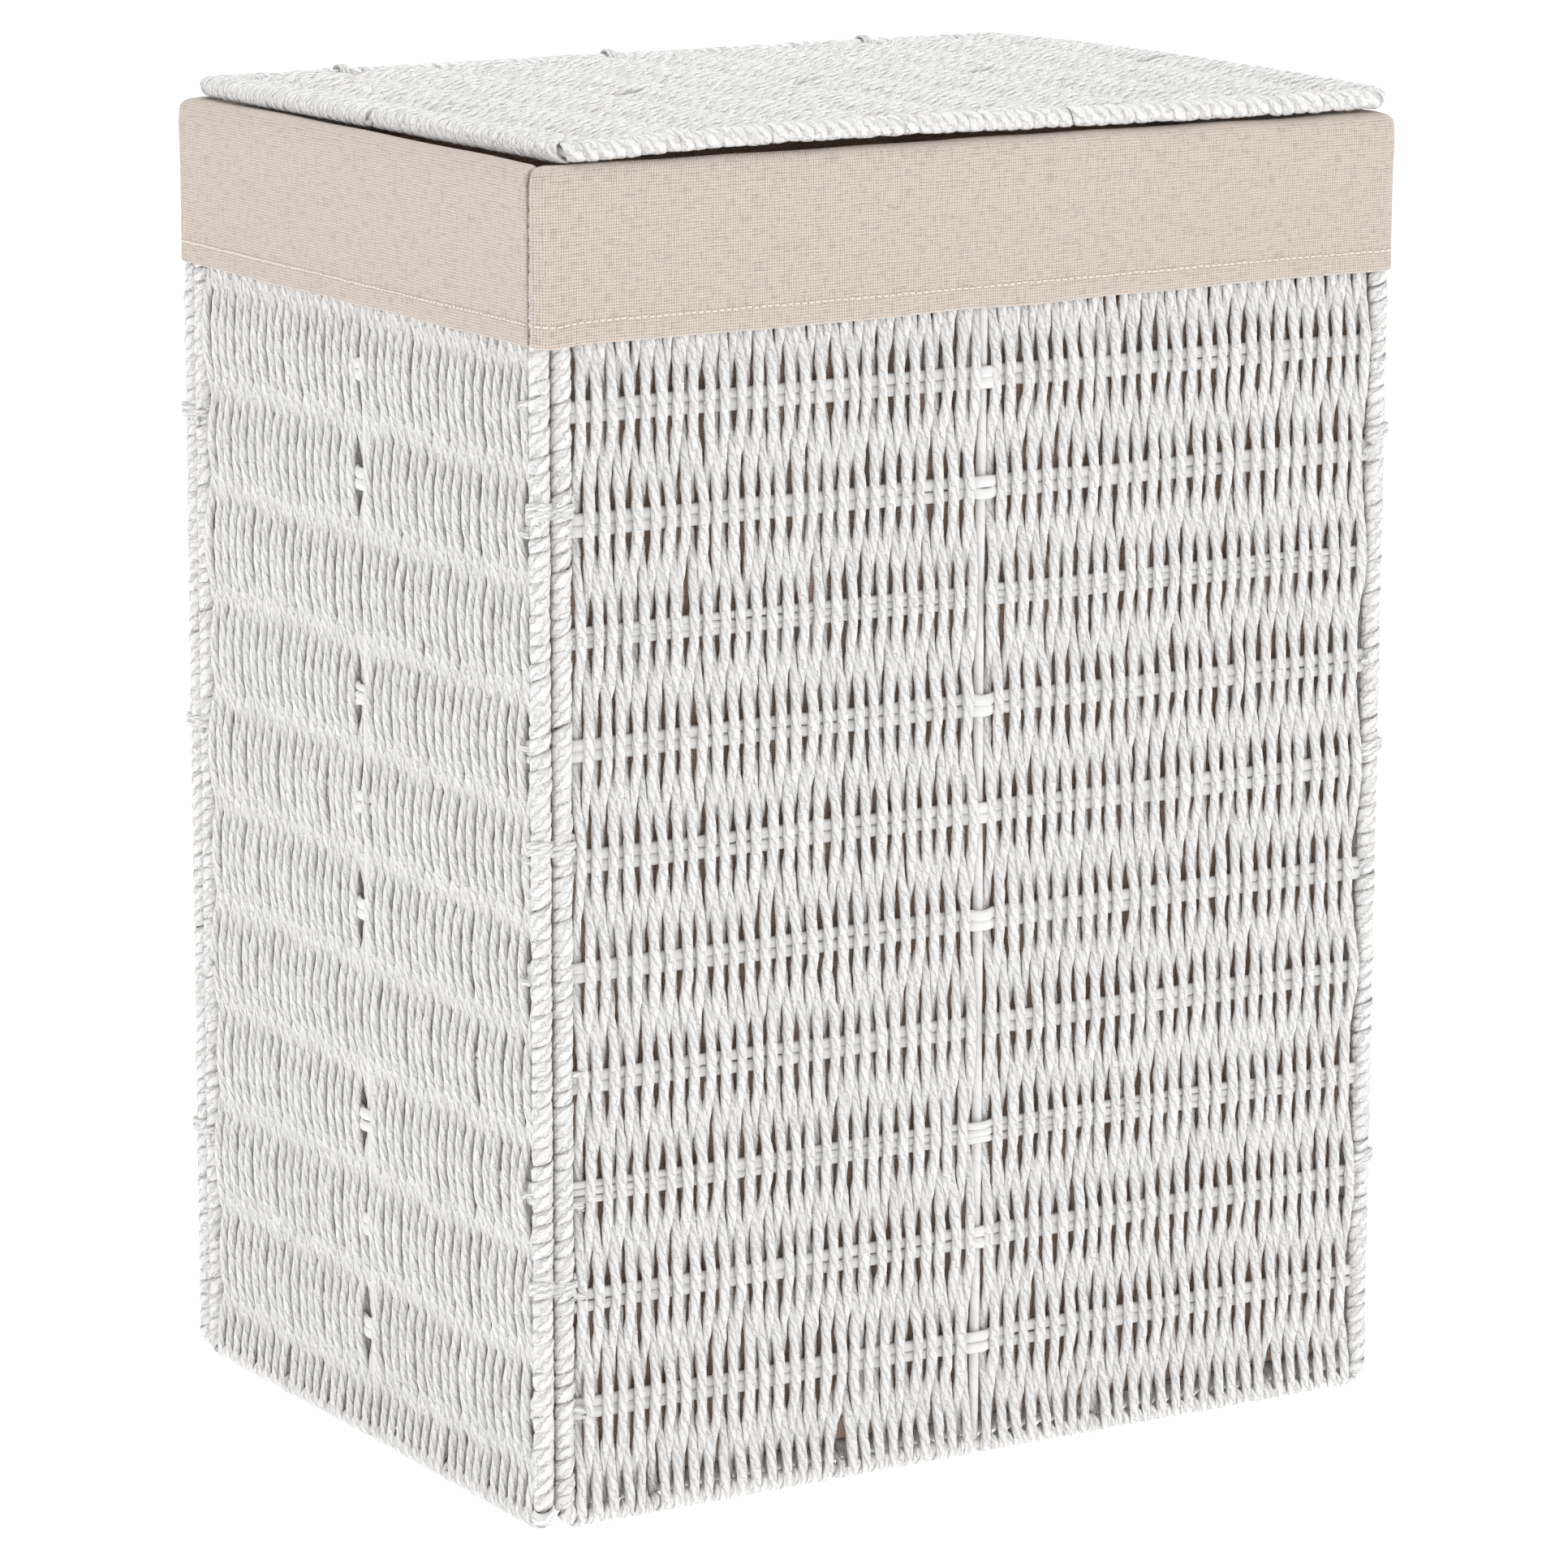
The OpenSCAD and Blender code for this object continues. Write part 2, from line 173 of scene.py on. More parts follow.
def cord_surface(paths, side, half_w, half_t, sides=7, start=0.0, lobe=0.0):
    """Closed cords along paths of shape (cords, points, 3).
    With T the path's direction, S the side vector made square to T, and B = T x S, a point of the surface is
    path + g (half_w cos(a) S + half_t sin(a) B), where g = 1 + lobe cos(2a + 2 pi s / 11.5) swells the section in two
    lobes that twist once round in 23 mm. Its lay is (length along the cord in metres, share of the way round)."""
    cords, rings, _ = paths.shape
    t = unit(np.gradient(paths, axis=1))
    side = np.broadcast_to(side, paths.shape)
    s = unit(side - (side * t).sum(-1, keepdims=True) * t)
    b = np.cross(t, s)
    a = 2 * np.pi * np.arange(sides) / sides
    run = np.zeros((cords, rings))
    run[:, 1:] = np.cumsum(np.linalg.norm(np.diff(paths, axis=1), axis=-1), axis=1)
    run = run + np.broadcast_to(start, (cords, 1))
    g = 1 + lobe * np.cos(2 * a + 2 * np.pi * run[..., None] / 11.5)
    w = np.broadcast_to(half_w, (cords, rings))[..., None] * np.cos(a) * g
    h = np.broadcast_to(half_t, (cords, rings))[..., None] * np.sin(a) * g
    points = paths[:, :, None] + w[..., None] * s[:, :, None] + h[..., None] * b[:, :, None]
    run = run / 1000
    first = (np.arange(cords)[:, None, None] * rings + np.arange(rings - 1)[None, :, None]) * sides
    k = np.arange(sides)
    nxt = (k + 1) % sides
    quads = np.stack([first + k, first + nxt, first + sides + nxt, first + sides + k], -1)
    lay = np.zeros(quads.shape + (2,))
    lay[..., 0, 0] = lay[..., 1, 0] = run[:, :-1, None]
    lay[..., 2, 0] = lay[..., 3, 0] = run[:, 1:, None]
    lay[..., 0, 1] = lay[..., 3, 1] = k / sides
    lay[..., 1, 1] = lay[..., 2, 1] = (k + 1) / sides
    ends = np.arange(cords)[:, None] * rings * sides + k
    caps = np.concatenate([ends[:, ::-1], ends + (rings - 1) * sides])
    cap_lay = np.zeros(caps.shape + (2,))
    cap_lay[..., 0] = np.concatenate([run[:, :1], run[:, -1:]])
    cap_lay[..., 1] = 0.5
    return points.reshape(-1, 3), [(quads.reshape(-1, 4), lay.reshape(-1, 4, 2)), (caps, cap_lay)]


def grid_surface(points, lay, closed=False, keep=None):
    """A sheet on a grid of shape (rows, columns, 3), each face turned so that rows cross columns outwards.
    closed joins the last column to the first; keep says which of the grid's faces are there."""
    rows, columns, _ = points.shape
    wide = columns if closed else columns - 1
    r, c = np.meshgrid(np.arange(rows - 1), np.arange(wide), indexing="ij")
    right = (c + 1) % columns
    quads = np.stack([r * columns + c, r * columns + right, (r + 1) * columns + right, (r + 1) * columns + c], -1)
    step = lay[:, 1:2, 0] - lay[:, :1, 0]
    beyond = np.concatenate([lay, lay[:, -1:] + np.stack([step, 0 * step], -1)], axis=1)
    corner = np.stack([beyond[r, c], beyond[r, c + 1], beyond[r + 1, c + 1], beyond[r + 1, c]], -2)
    if keep is not None:
        quads, corner = quads[keep], corner[keep]
    return points.reshape(-1, 3), [(quads.reshape(-1, 4), corner.reshape(-1, 4, 2))]


def put_mesh(name, surfaces):
    """One mesh from surfaces in millimetres, with the lay of each face corner in the UV map "lay"."""
    points, corners, counts, lays, first = [], [], [], [], 0
    for co, faces in surfaces:
        for index, lay in faces:
            corners.append((index + first).ravel())
            counts.append(np.full(len(index), index.shape[1]))
            lays.append(lay.reshape(-1, 2))
        points.append(co)
        first += len(co)
    points, corners = np.concatenate(points) / 1000, np.concatenate(corners)
    counts, lays = np.concatenate(counts), np.concatenate(lays)
    mesh = bpy.data.meshes.new(name)
    mesh.vertices.add(len(points))
    mesh.vertices.foreach_set("co", points.astype(np.float32).ravel())
    mesh.loops.add(len(corners))
    mesh.loops.foreach_set("vertex_index", corners.astype(np.int32))
    mesh.polygons.add(len(counts))
    mesh.polygons.foreach_set("loop_start", (np.cumsum(counts) - counts).astype(np.int32))
    mesh.update(calc_edges=True)
    mesh.uv_layers.new(name="lay").data.foreach_set("uv", lays.astype(np.float32).ravel())
    mesh.shade_smooth()
    mesh.validate()
    return mesh


def add_piece(name, surfaces, body, material, replaces=(), cloth=0.0):
    """Makes a piece that rides on a body and stands for CAD nodes; cloth gives a sheet its thickness."""
    obj = bpy.data.objects.new(name, put_mesh(name, surfaces))
    bpy.context.scene.collection.objects.link(obj)
    obj.data.materials.append(material)
    if cloth:
        solid = obj.modifiers.new("Cloth thickness", "SOLIDIFY")
        solid.thickness, solid.offset = cloth / 1000, 0
    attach(obj, body)
    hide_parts(*replaces)
    return obj


# Woven panels


class Panel:
    """A woven panel's own directions: u across its weaving cords, v along them and n outwards.
    v is 0 at the middle of the first end rod and `length` at the other, and the side rods stand at u = +-half."""

    def __init__(self, name, u, v, n):
        self.name, self.body = name, "lid" if name == "lid" else "basket"
        self.u, self.v, self.n = np.array(u, float), np.array(v, float), np.array(n, float)
        low, high = (1000 * np.array(corner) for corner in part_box(name + "_frame"))
        size = high - low
        self.half = abs(size @ self.u) / 2 - ROD / 2
        self.length = abs(size @ self.v) - ROD
        self.origin = (low + high) / 2 - self.v * self.length / 2
        self.spans = round(self.length / 44)
        self.pitch = self.length / self.spans

    def bow(self, u, v):
        """How far the panel stands off its plane. A wall bows by under 1 mm between its posts, and is flat under the
        cuff. The lid's front edge bows up most left of its middle, by a table of heights, and its right half is
        slightly domed."""
        if self.name == "lid":
            x, forward = v / self.length * 2 - 1, (u + self.half) / (2 * self.half)
            front = np.interp(x, np.linspace(-1, 1, 9), (-0.05, 0.62, 1.0, 0.98, 0.8, 0.56, 0.4, 0.34, 0.36))
            lift = bpy.context.scene.basket_sizes.lid_lift * 1000
            dome = 3.6 * forward * (1 - forward) * (0.5 + 0.5 * x)
            return lift * (front * forward.clip(0, 1) ** 2 + dome)
        if self.name == "base":
            return np.zeros_like(u + v)
        turn = WALLS.index(self.name) * 1.7
        free = ((self.length - 60 - v) / 120).clip(0, 1)
        return 0.9 * free * (1 - (u / self.half) ** 2) * np.sin(2.1 * np.pi * v / self.length + turn)

    def place(self, u, v, n):
        """Points at (u, v, n): origin + u U + v V + (n + bow) N. The lid's frame is a little racked: with f from 0
        at the back to 1 at the front, v grows by (4.5 + 3 left) f and u by 3.5 f."""
        n = n + self.bow(u, v)
        if self.name == "lid":
            f = (u + self.half) / (2 * self.half)
            u, v = u + 3.5 * f, v + (4.5 + 3 * (1 - v / self.length)) * f
        return self.origin + u[..., None] * self.u + v[..., None] * self.v + n[..., None] * self.n

    def gaps(self):
        """Where ties go round the end rods, as (u, which end), and round the side rods, as (v, which side)."""
        ends, sides = [], []
        middle = self.origin + self.v * self.length / 2
        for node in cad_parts:
            low, high = (1000 * np.array(corner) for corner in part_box(node))
            if node.endswith("_hinge_loop") and self.name in ("back", "lid"):
                at = (low + high) / 2 - middle
                if self.name == "back":
                    ends.append((at @ self.u, 1))
                else:
                    sides.append((at @ self.v + self.length / 2, -1))
        if self.name in WALLS:
            along = middle @ self.u
            ends += [(x - along, 0) for x in BASE_TIES[self.name]]
        if self.name == "base":
            ends += [(y, end) for y in BASE_TIES["right"] for end in (0, 1)]
            sides += [(x + self.length / 2, side) for x in BASE_TIES["front"] for side in (-1, 1)]
        return ends, sides

    def cord_row(self):
        """The row of weaving cords on one half of the panel: the first one's u, the row's width and its number."""
        first = FIRST_CORD.get(self.name, 4.5)
        room = self.half - LAST_CORD - first
        return first, room, round(room / (bpy.context.scene.basket_sizes.cord_pitch * 1000)) + 1


def panels():
    """The six panels, each with its weaving cords along v."""
    made = [
        Panel(name, u, (0, 0, 1), n)
        for name, u, n in (
            ("front", (1, 0, 0), (0, -1, 0)),
            ("right", (0, 1, 0), (1, 0, 0)),
            ("back", (-1, 0, 0), (0, 1, 0)),
            ("left", (0, -1, 0), (-1, 0, 0)),
        )
    ]
    made.append(Panel("base", (0, 1, 0), (1, 0, 0), (0, 0, -1)))
    made.append(Panel("lid", (0, -1, 0), (1, 0, 0), (0, 0, 1)))
    return made


def weaving_cords(panel, hand, seed):
    """The weaving cords of one half of a panel.
    Cord j runs at u = hand (first + j p). With r counted in stakes along it, its middle swings as
    n = (-1)^j A cos pi r, so that it lies over one stake and under the next; it is widest over a stake, and squeezed
    narrow and deep where it crosses its neighbours. At each end it makes a quarter turn round the end rod,
    v = -A sin q and n = A cos q, to meet the neighbour that it goes on as. Slow random curves shift it sideways by
    about 0.5 mm and change its swing and its size by a few hundredths. Where a tie goes round a rod, the cords
    beside it are pushed apart by up to 2.7 mm."""
    sizes = bpy.context.scene.basket_sizes
    rng = np.random.default_rng(seed)
    first, room, cords = panel.cord_row()
    p = room / (cords - 1)
    j = np.arange(cords)[:, None]
    r = np.linspace(0, panel.spans, panel.spans * sizes.rings + 1)
    count = len(r)
    c = np.cos(np.pi * r)
    near = np.rint(r).astype(int)
    swing = sizes.cord_wave * 1000 * (1 + 0.07 * rng.normal(size=(cords, panel.spans + 1)).clip(-2, 2))
    swing[:, 0] = swing[:, -1] = END_SWING
    if panel.name in WALLS:
        swing[:, -2] = sizes.cord_wave * 900  # pressed flat by the cuff
    sign = np.where(j % 2 == 0, 1.0, -1.0)
    n = sign * swing[:, near] * c
    u = first + j * p + 0.5 * drift(rng, cords, panel.spans * 2, count)
    u = hand * (u + 0.2 * drift(rng, cords, panel.spans * 7, count))
    v = np.broadcast_to(r * panel.pitch, u.shape).copy()
    wide = 1 + 0.08 * drift(rng, cords, panel.spans * 3, count)
    half_w = sizes.cord_width * 1000 / 2 * (0.8 + 0.2 * np.abs(c) ** 0.9) * wide
    half_t = (2.15 - 0.42 * np.abs(c)) * (1 + 0.05 * drift(rng, cords, panel.spans * 5, count))
    crumple = 1 + 0.025 * rng.normal(size=(cords, count))
    end = np.minimum(r, panel.spans - r).clip(0, 0.45) / 0.45
    half_t = half_t * crumple * end + 1.35 * (1 - end)
    half_w = half_w / crumple
    q = np.radians([24, 48, 72, 92])
    even = np.where(j % 2 == 0, 1, -1) * hand * p / 2
    far_sign = sign * (-1) ** panel.spans
    before = u[:, :1] + (even * (1 - np.cos(q)))[:, ::-1]
    u = np.concatenate([before, u, u[:, -1:] - even * (1 - np.cos(q))], axis=1)
    before = np.broadcast_to(-END_SWING * np.sin(q)[::-1], (cords, 4))
    after = np.broadcast_to(panel.length + END_SWING * np.sin(q), (cords, 4))
    v = np.concatenate([before, v, after], axis=1)
    n = np.concatenate([(sign * END_SWING * np.cos(q))[:, ::-1], n, far_sign * END_SWING * np.cos(q)], axis=1)
    half_w = np.pad(half_w, ((0, 0), (4, 4)), mode="edge")
    half_t = np.pad(half_t, ((0, 0), (4, 4)), mode="edge")
    ends, sides = panel.gaps()
    for at, which in ends:
        away = u - at
        reach = 1 - (np.abs(v - which * panel.length) / 24).clip(0, 1)
        u = u + 2.7 * np.sign(away) * np.exp(-np.abs(away) / 8) * reach**0.6
    for at, which in sides:
        away = panel.half - u * which
        u = u - which * 2.4 * bell(v - at, 7) * np.exp(-(away - 7) / 9)
    return cord_surface(panel.place(u, v, n), panel.u, half_w, half_t, 7, rng.uniform(0, 400, (cords, 1)), 0.1)


def end_binding(panel, hand, end, seed):
    """The cord that covers an end rod between the weaving cords' turns, on a helix with one turn for each pair of
    them: n = R cos f and v = -R sin f, where f grows by one turn in twice the cords' spacing."""
    rng = np.random.default_rng(seed)
    first, room, cords = panel.cord_row()
    p = room / (cords - 1)
    turns = room / (2 * p)
    count = int(turns * 11)
    x = np.linspace(first - 0.4 * p, first + room + 0.6 * p, count)
    f = 2 * np.pi * (x - first - p) / (2 * p) + 0.25 * drift(rng, 1, int(turns), count)[0]
    radius = 2.85 + 0.12 * drift(rng, 1, int(turns * 2), count)[0]
    out = 1 if end == 0 else (-1) ** panel.spans
    v = end * panel.length - (1 - 2 * end) * radius * np.sin(f)
    path = panel.place(hand * x, v, out * radius * np.cos(f))
    half_w = 1.9 * (1 + 0.08 * drift(rng, 1, int(turns * 2), count))
    return cord_surface(path[None], panel.u, half_w, 1.3, 6, float(seed))


def stake_strands(panel, seed):
    """The stakes of a panel. A stake is two or three flat cords side by side, each straight along u at a steady n,
    raised by 2.2 exp(-(u/5)^4) where it crosses in front of the centre stay. Every fourth stake goes behind the
    stay instead, 4.4 mm inwards."""
    rng = np.random.default_rng(seed)
    reach = panel.half - 3.6
    u = np.unique(np.concatenate([np.linspace(-reach, reach, 50), np.linspace(-18, 18, 25)]))
    surfaces = []
    for row in range(1, panel.spans):
        strands = 3 if rng.random() < 0.25 else 2
        each = 8.7 / strands
        at = (np.arange(strands) - (strands - 1) / 2)[:, None] * each
        v = row * panel.pitch + at + 0.25 * drift(rng, strands, 14, len(u))
        hump = np.exp(-((u / 5.0) ** 4))
        n = 0.25 + 0.12 * drift(rng, strands, 30, len(u)) + (-4.4 if row % 4 == 0 else 2.2) * hump
        half = each / 2 * (1.1 + 0.05 * drift(rng, strands, 22, len(u)))
        line = panel.place(np.broadcast_to(u, v.shape), v, n)
        surfaces.append(cord_surface(line, panel.v, half, 1.15, 8, rng.uniform(0, 400, (strands, 1))))
    return surfaces


def centre_stay(panel, seed):
    """The rod down the middle of a panel with its paper tape, a round cord at n = -0.9 whose radius grows from 2.04
    to 2.14 mm and steps back once in 9 mm, at the tape's edge."""
    v = np.linspace(ROD / 2, panel.length - ROD / 2, int(panel.length / 1.5))
    radius = 2.04 + 0.1 * ((v / 9) % 1)
    line = panel.place(0 * v, v, 0 * v - 0.9)
    return [cord_surface(line[None], panel.u, radius[None], radius[None], 10, float(seed))]


def rod_line(panel, side, run):
    """The middle of a side rod and its two bends, at lengths run: quarter circles of radius BEND from one end rod
    and to the other, with a straight between."""
    q = BEND * np.pi / 2
    a = (run / BEND).clip(0, np.pi / 2)
    b = ((run - (2 * q + panel.length - 2 * BEND) + q) / BEND).clip(0, np.pi / 2)
    u = panel.half - BEND + BEND * np.sin(a) - BEND * (1 - np.cos(b))
    v = BEND * (1 - np.cos(a)) + (run - q).clip(0, panel.length - 2 * BEND) + BEND * np.sin(b)
    return side * u, v


def edge_winding(panel, side, seed):
    """The cord wound round a side rod. It is a flat cord on a helix of radius 3.2 round the rod's line,
    line + R (cos f N + sin f (T x N)), where f grows by one turn in each wrap pitch and wanders a little. Each turn
    leans a little outwards, so that its edge lies over the turn before it. On the base it stops where a tie goes
    round the bare rod."""
    rng = np.random.default_rng(seed)
    pitch = bpy.context.scene.basket_sizes.wrap_pitch * 1000
    q = BEND * np.pi / 2
    whole = panel.length - 2 * BEND + 2 * q
    stops = [0.0]
    if panel.name == "base":
        for at, which in panel.gaps()[1]:
            if which == side:
                stops += [at - BEND + q - 2.6, at - BEND + q + 2.6]
    stops.append(whole)
    surfaces = []
    for low, high in zip(stops[::2], stops[1::2]):
        count = int((high - low) / pitch * 12)
        run = np.linspace(low, high, count)
        u, v = rod_line(panel, side, run)
        line = panel.place(u, v, 0 * u)
        t = unit(np.gradient(line, axis=0))
        across = np.cross(t, panel.n)
        f = 2 * np.pi * (run + 0.7 * wander(rng, high - low, 9, count)[0]) / pitch
        radius = 3.2 + 0.14 * wander(rng, high - low, 3, count)[0]
        path = line + radius[:, None] * (np.cos(f)[:, None] * panel.n + np.sin(f)[:, None] * across)
        half_w = 3.7 * (1 + 0.08 * wander(rng, high - low, 4, count))
        half_t = 1 + 0.14 * wander(rng, high - low, 2.3, count)
        tilt = 0.05 + 0.08 * wander(rng, high - low, 3, count)[0]
        leaning = t + tilt[:, None] * (path - line) / radius[:, None]
        surfaces.append(cord_surface(path[None], leaning[None], half_w, half_t, 7, float(seed), 0.05))
    return surfaces


def tucked_ends(panel, seed):
    """Short ends of the stakes' cords that stick out of the edge winding towards the weave, at about half of the
    stakes: each is a small hook, u = R sin 1.9s and v = L s^2, bent up or down."""
    rng = np.random.default_rng(seed)
    surfaces = []
    s = np.linspace(0, 1, 8)
    for side in (-1, 1):
        for row in range(1, panel.spans):
            if rng.random() > 0.45:
                continue
            v = row * panel.pitch + rng.uniform(-5, 5)
            lean, reach = rng.uniform(1.2, 3.4) * rng.choice((-1, 1)), rng.uniform(3.2, 5.4)
            if panel.name in WALLS and row == panel.spans - 1:
                continue  # under the cuff
            u = side * (panel.half - 2.8 - reach * np.sin(s * 1.9))
            n = 2.4 + 2.2 * np.sin(s * 2.2) * rng.uniform(0.8, 1.1)
            line = panel.place(u, v + lean * s * s, n)
            surfaces.append(cord_surface(line[None], panel.v, 1.35 - 0.25 * s, 1.1 - 0.2 * s, 7, rng.uniform(0, 400)))
    return surfaces


def bound_turns(first, second, axis, radius, half_w, half_t, spread, run):
    """Two turns of cord round two parallel rods through the points first and second.
    At length s of a turn the cord runs straight from one rod to the other at distance radius, then half a circle
    round it, and so back; it moves on along the rods by spread in each turn."""
    gap = second - first
    apart = np.linalg.norm(gap)
    e = gap / apart
    axis = np.array(axis, float)
    f = np.cross(axis, e)
    bend = np.pi * radius
    t = np.linspace(0.06, 1.94, 68)
    s = (t % 1) * (2 * apart + 2 * bend)
    a = ((s - apart) / radius).clip(0, np.pi)
    b = ((s - 2 * apart - bend) / radius).clip(0, np.pi)
    along = s.clip(0, apart) - (s - apart - bend).clip(0, apart)
    straight_back = s > apart + bend
    x = np.where(straight_back, along - radius * np.sin(b), along + radius * np.sin(a))
    y = np.where(straight_back, -radius * np.cos(b), radius * np.cos(a))
    z = spread * (t - 1)
    path = first + x[:, None] * e + y[:, None] * f + z[:, None] * axis
    return cord_surface(path[None], axis, half_w, half_t, 8, run)


def crossed_turns(first, second, radius, run):
    """Two turns of cord round two upright posts that cross between them, a figure of eight: with d the distance
    from one to the other, x = d/2 - (d/2 + R) cos a and y = 1.1 R sin 2a, rising by 2.6 mm in each turn and
    slanting where it passes in front of a post."""
    gap = second - first
    apart = np.linalg.norm(gap)
    e = gap / apart
    axis = np.array([0, 0, 1.0])
    a = np.linspace(0.6, 4 * np.pi + 0.2, 64)
    x = apart / 2 - (apart / 2 + radius) * np.cos(a)
    y = 1.1 * radius * np.sin(2 * a)
    z = 2.6 * (a / (2 * np.pi) - 1) + 0.9 * np.sin(2 * a + 0.7)
    path = first + x[:, None] * e + y[:, None] * np.cross(axis, e) + z[:, None] * axis
    return cord_surface(path[None], axis, 1.6, 0.85, 8, run, 0.06)


def corner_lashings(corner, seed):
    """Two crossed turns of cord round the two posts of a corner, just above four of the stakes; the uppermost is
    drawn tight under the cuff. corner is two pairs of a panel and which of its sides."""
    rng = np.random.default_rng(seed)
    panel = corner[0][0]
    posts = [(wall.origin + side * wall.half * wall.u)[:2] for wall, side in corner]
    surfaces = []
    for row in (2, 6, 9, 11):
        z = panel.origin[2] + row * panel.pitch + 7.05
        first, second = (np.append(post, z) for post in posts)
        surfaces.append(crossed_turns(first, second, 4.3 if row < 10 else 3.3, rng.uniform(0, 400)))
    return surfaces


def panel_wire(panel):
    """The wire round a panel, closed, of radius ROD / 2: the two side rods with their bends, and the end rods."""
    q = BEND * np.pi / 2
    whole = panel.length - 2 * BEND + 2 * q
    run = np.linspace(0, whole, 160)
    u, v = rod_line(panel, 1, run)
    across = np.linspace(panel.half - BEND, -(panel.half - BEND), 50)[1:-1]
    u = np.concatenate([u, across, -u[::-1], -across])
    v = np.concatenate([v, across * 0 + panel.length, v[::-1], across * 0])
    line = panel.place(u, v, 0 * u)
    line = np.concatenate([line, line[:2]])
    return [cord_surface(line[None], panel.n, ROD / 2, ROD / 2, 10)]


# Liner


def band_columns(half_x, half_y, radius, step, marks):
    """Places round a rounded rectangle, as (corner share x, corner share y, angle, length). A point at half sizes
    X, Y is ((X - r) cx + r cos a, (Y - r) cy + r sin a). marks adds places on each of the four sides, right, back,
    left and front, at distances along it from its middle."""
    ends = [(1, -1, 0), (1, 1, 90), (-1, 1, 180), (-1, -1, 270)]
    columns = []
    total = 0.0
    for side in range(4):
        x0, y0, angle = ends[side]
        x1, y1, _ = ends[(side + 1) % 4]
        half = (half_y if side % 2 == 0 else half_x) - radius
        along = np.concatenate([np.linspace(-half, half, int(2 * half / step) + 1), np.asarray(marks[side], float)])
        along = np.unique(along.round(3))
        wanted = np.isin(along, np.round(marks[side], 3))
        clear = np.diff(along, prepend=along[0] - 9) > 0.3
        clear_next = np.diff(along, append=along[-1] + 9) > 0.3
        along = along[wanted | (clear & clear_next)]
        share = (along / half + 1) / 2
        angles = 0 * along + math.radians(angle)
        columns.append(np.stack([x0 + (x1 - x0) * share, y0 + (y1 - y0) * share, angles, total + along + half], -1))
        total += 2 * half
        turn = np.linspace(0, 1, int(4 * radius) + 1)[1:-1]
        angles = math.radians(angle) + turn * np.pi / 2
        columns.append(np.stack([0 * turn + x1, 0 * turn + y1, angles, total + turn * radius * np.pi / 2], -1))
        total += radius * np.pi / 2
    return np.concatenate(columns), total


def band_points(columns, half_x, half_y, radius, out, z):
    """Points of a band: rows differ in `out`, the distance moved outwards, and in z; columns go round it."""
    cx, cy, a = (columns[:, i] for i in range(3))
    x = (half_x + out - radius) * cx + radius * np.cos(a)
    y = (half_y + out - radius) * cy + radius * np.sin(a)
    return np.stack([x, y, np.broadcast_to(z, x.shape)], -1)


def soft_waves(rng, length, z, along, waves, size):
    """Gentle waves in cloth: a sum of sines of random phase that close round a band of that length."""
    total = 0.0
    for _ in range(waves):
        turns, rise = rng.integers(3, 26), rng.uniform(-2.2, 2.2)
        phase = 2 * np.pi * (turns * along / length + rise * z / 500)
        total = total + np.sin(phase + rng.uniform(0, 6.28)) / waves**0.5
    return size * total


def loop_place(name):
    """Where a hinge loop stands along x."""
    low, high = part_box(f"{name}_hinge_loop")
    return 500 * (low[0] + high[0])


class Cuff:
    """The cuff's shape, shared by its cloth and its stitches: a band round a rectangle with corners of radius 6.5.
    Lengths round it start at the front end of its right side."""

    def __init__(self):
        low, high = (1000 * np.array(corner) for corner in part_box("liner_cuff"))
        self.half_x, self.half_y = high[0] - 0.4, high[1] - 0.4  # middle of the cloth
        self.low, self.top = low[2], high[2]
        self.radius = 6.5
        self.slits = sorted(loop_place(name) for name in HINGE_LOOPS)
        straight = self.half_y - self.radius
        seam_marks = np.concatenate([sign * (straight - np.linspace(0.4, 3.2, 8)) for sign in (-1, 1)])
        slit_marks = np.concatenate([[-x - 2.6, -x, -x + 2.6] for x in self.slits])
        self.columns, self.round = band_columns(
            self.half_x, self.half_y, self.radius, 4.0, [seam_marks, slit_marks, seam_marks, [0.0]]
        )
        self.length = self.columns[:, 3]
        side = 2 * straight
        arc = self.radius * np.pi / 2
        front = 2 * (self.half_x - self.radius)
        left = side + arc + front + arc
        self.seams = [side + SEAM_PAST, self.round - SEAM_PAST, left - SEAM_PAST, left + side + SEAM_PAST]
        self.front_right = self.round - arc / 2
        self.back_middle = side + arc + front / 2

    def away(self, along, at):
        """Distance round the band from a place to each length."""
        return (along - at + self.round / 2) % self.round - self.round / 2

    def seam_depth(self, along):
        """1 in the bottom of a seam's groove and 0 beside it."""
        return sum(bell(self.away(along, at), 0.75) for at in self.seams)

    def rise(self, along, z):
        """How far the hem climbs: 3.6 mm at the front right corner, nothing at the other three, less higher up; and
        it hangs 1.3 mm lower beside the front left seam."""
        climb = 3.6 * bell(self.away(along, self.front_right), 230)
        sag = 1.3 * bell(self.away(along, self.seams[3] + 10), 9)
        return (climb - sag) * bell(z - self.low, 30)

    def ease(self, along, z):
        """How far the cloth stands off its flat face: soft waves, the seams' grooves with a lip and a fuller edge
        beside them, and a groove along the row of stitches."""
        rng = np.random.default_rng(77)
        waves = soft_waves(rng, self.round, z, along, 7, 0.2)
        beside = sum(bell(self.away(along, at), 4.5) for at in self.seams)
        stitched = bell(z - (self.low + HEM_STITCH), 0.9)
        lip = sum(bell(np.abs(self.away(along, at)) - 2.1, 0.9) for at in self.seams)
        return waves - 4.6 * self.seam_depth(along) + 0.15 * beside + 0.3 * lip - 0.3 * stitched


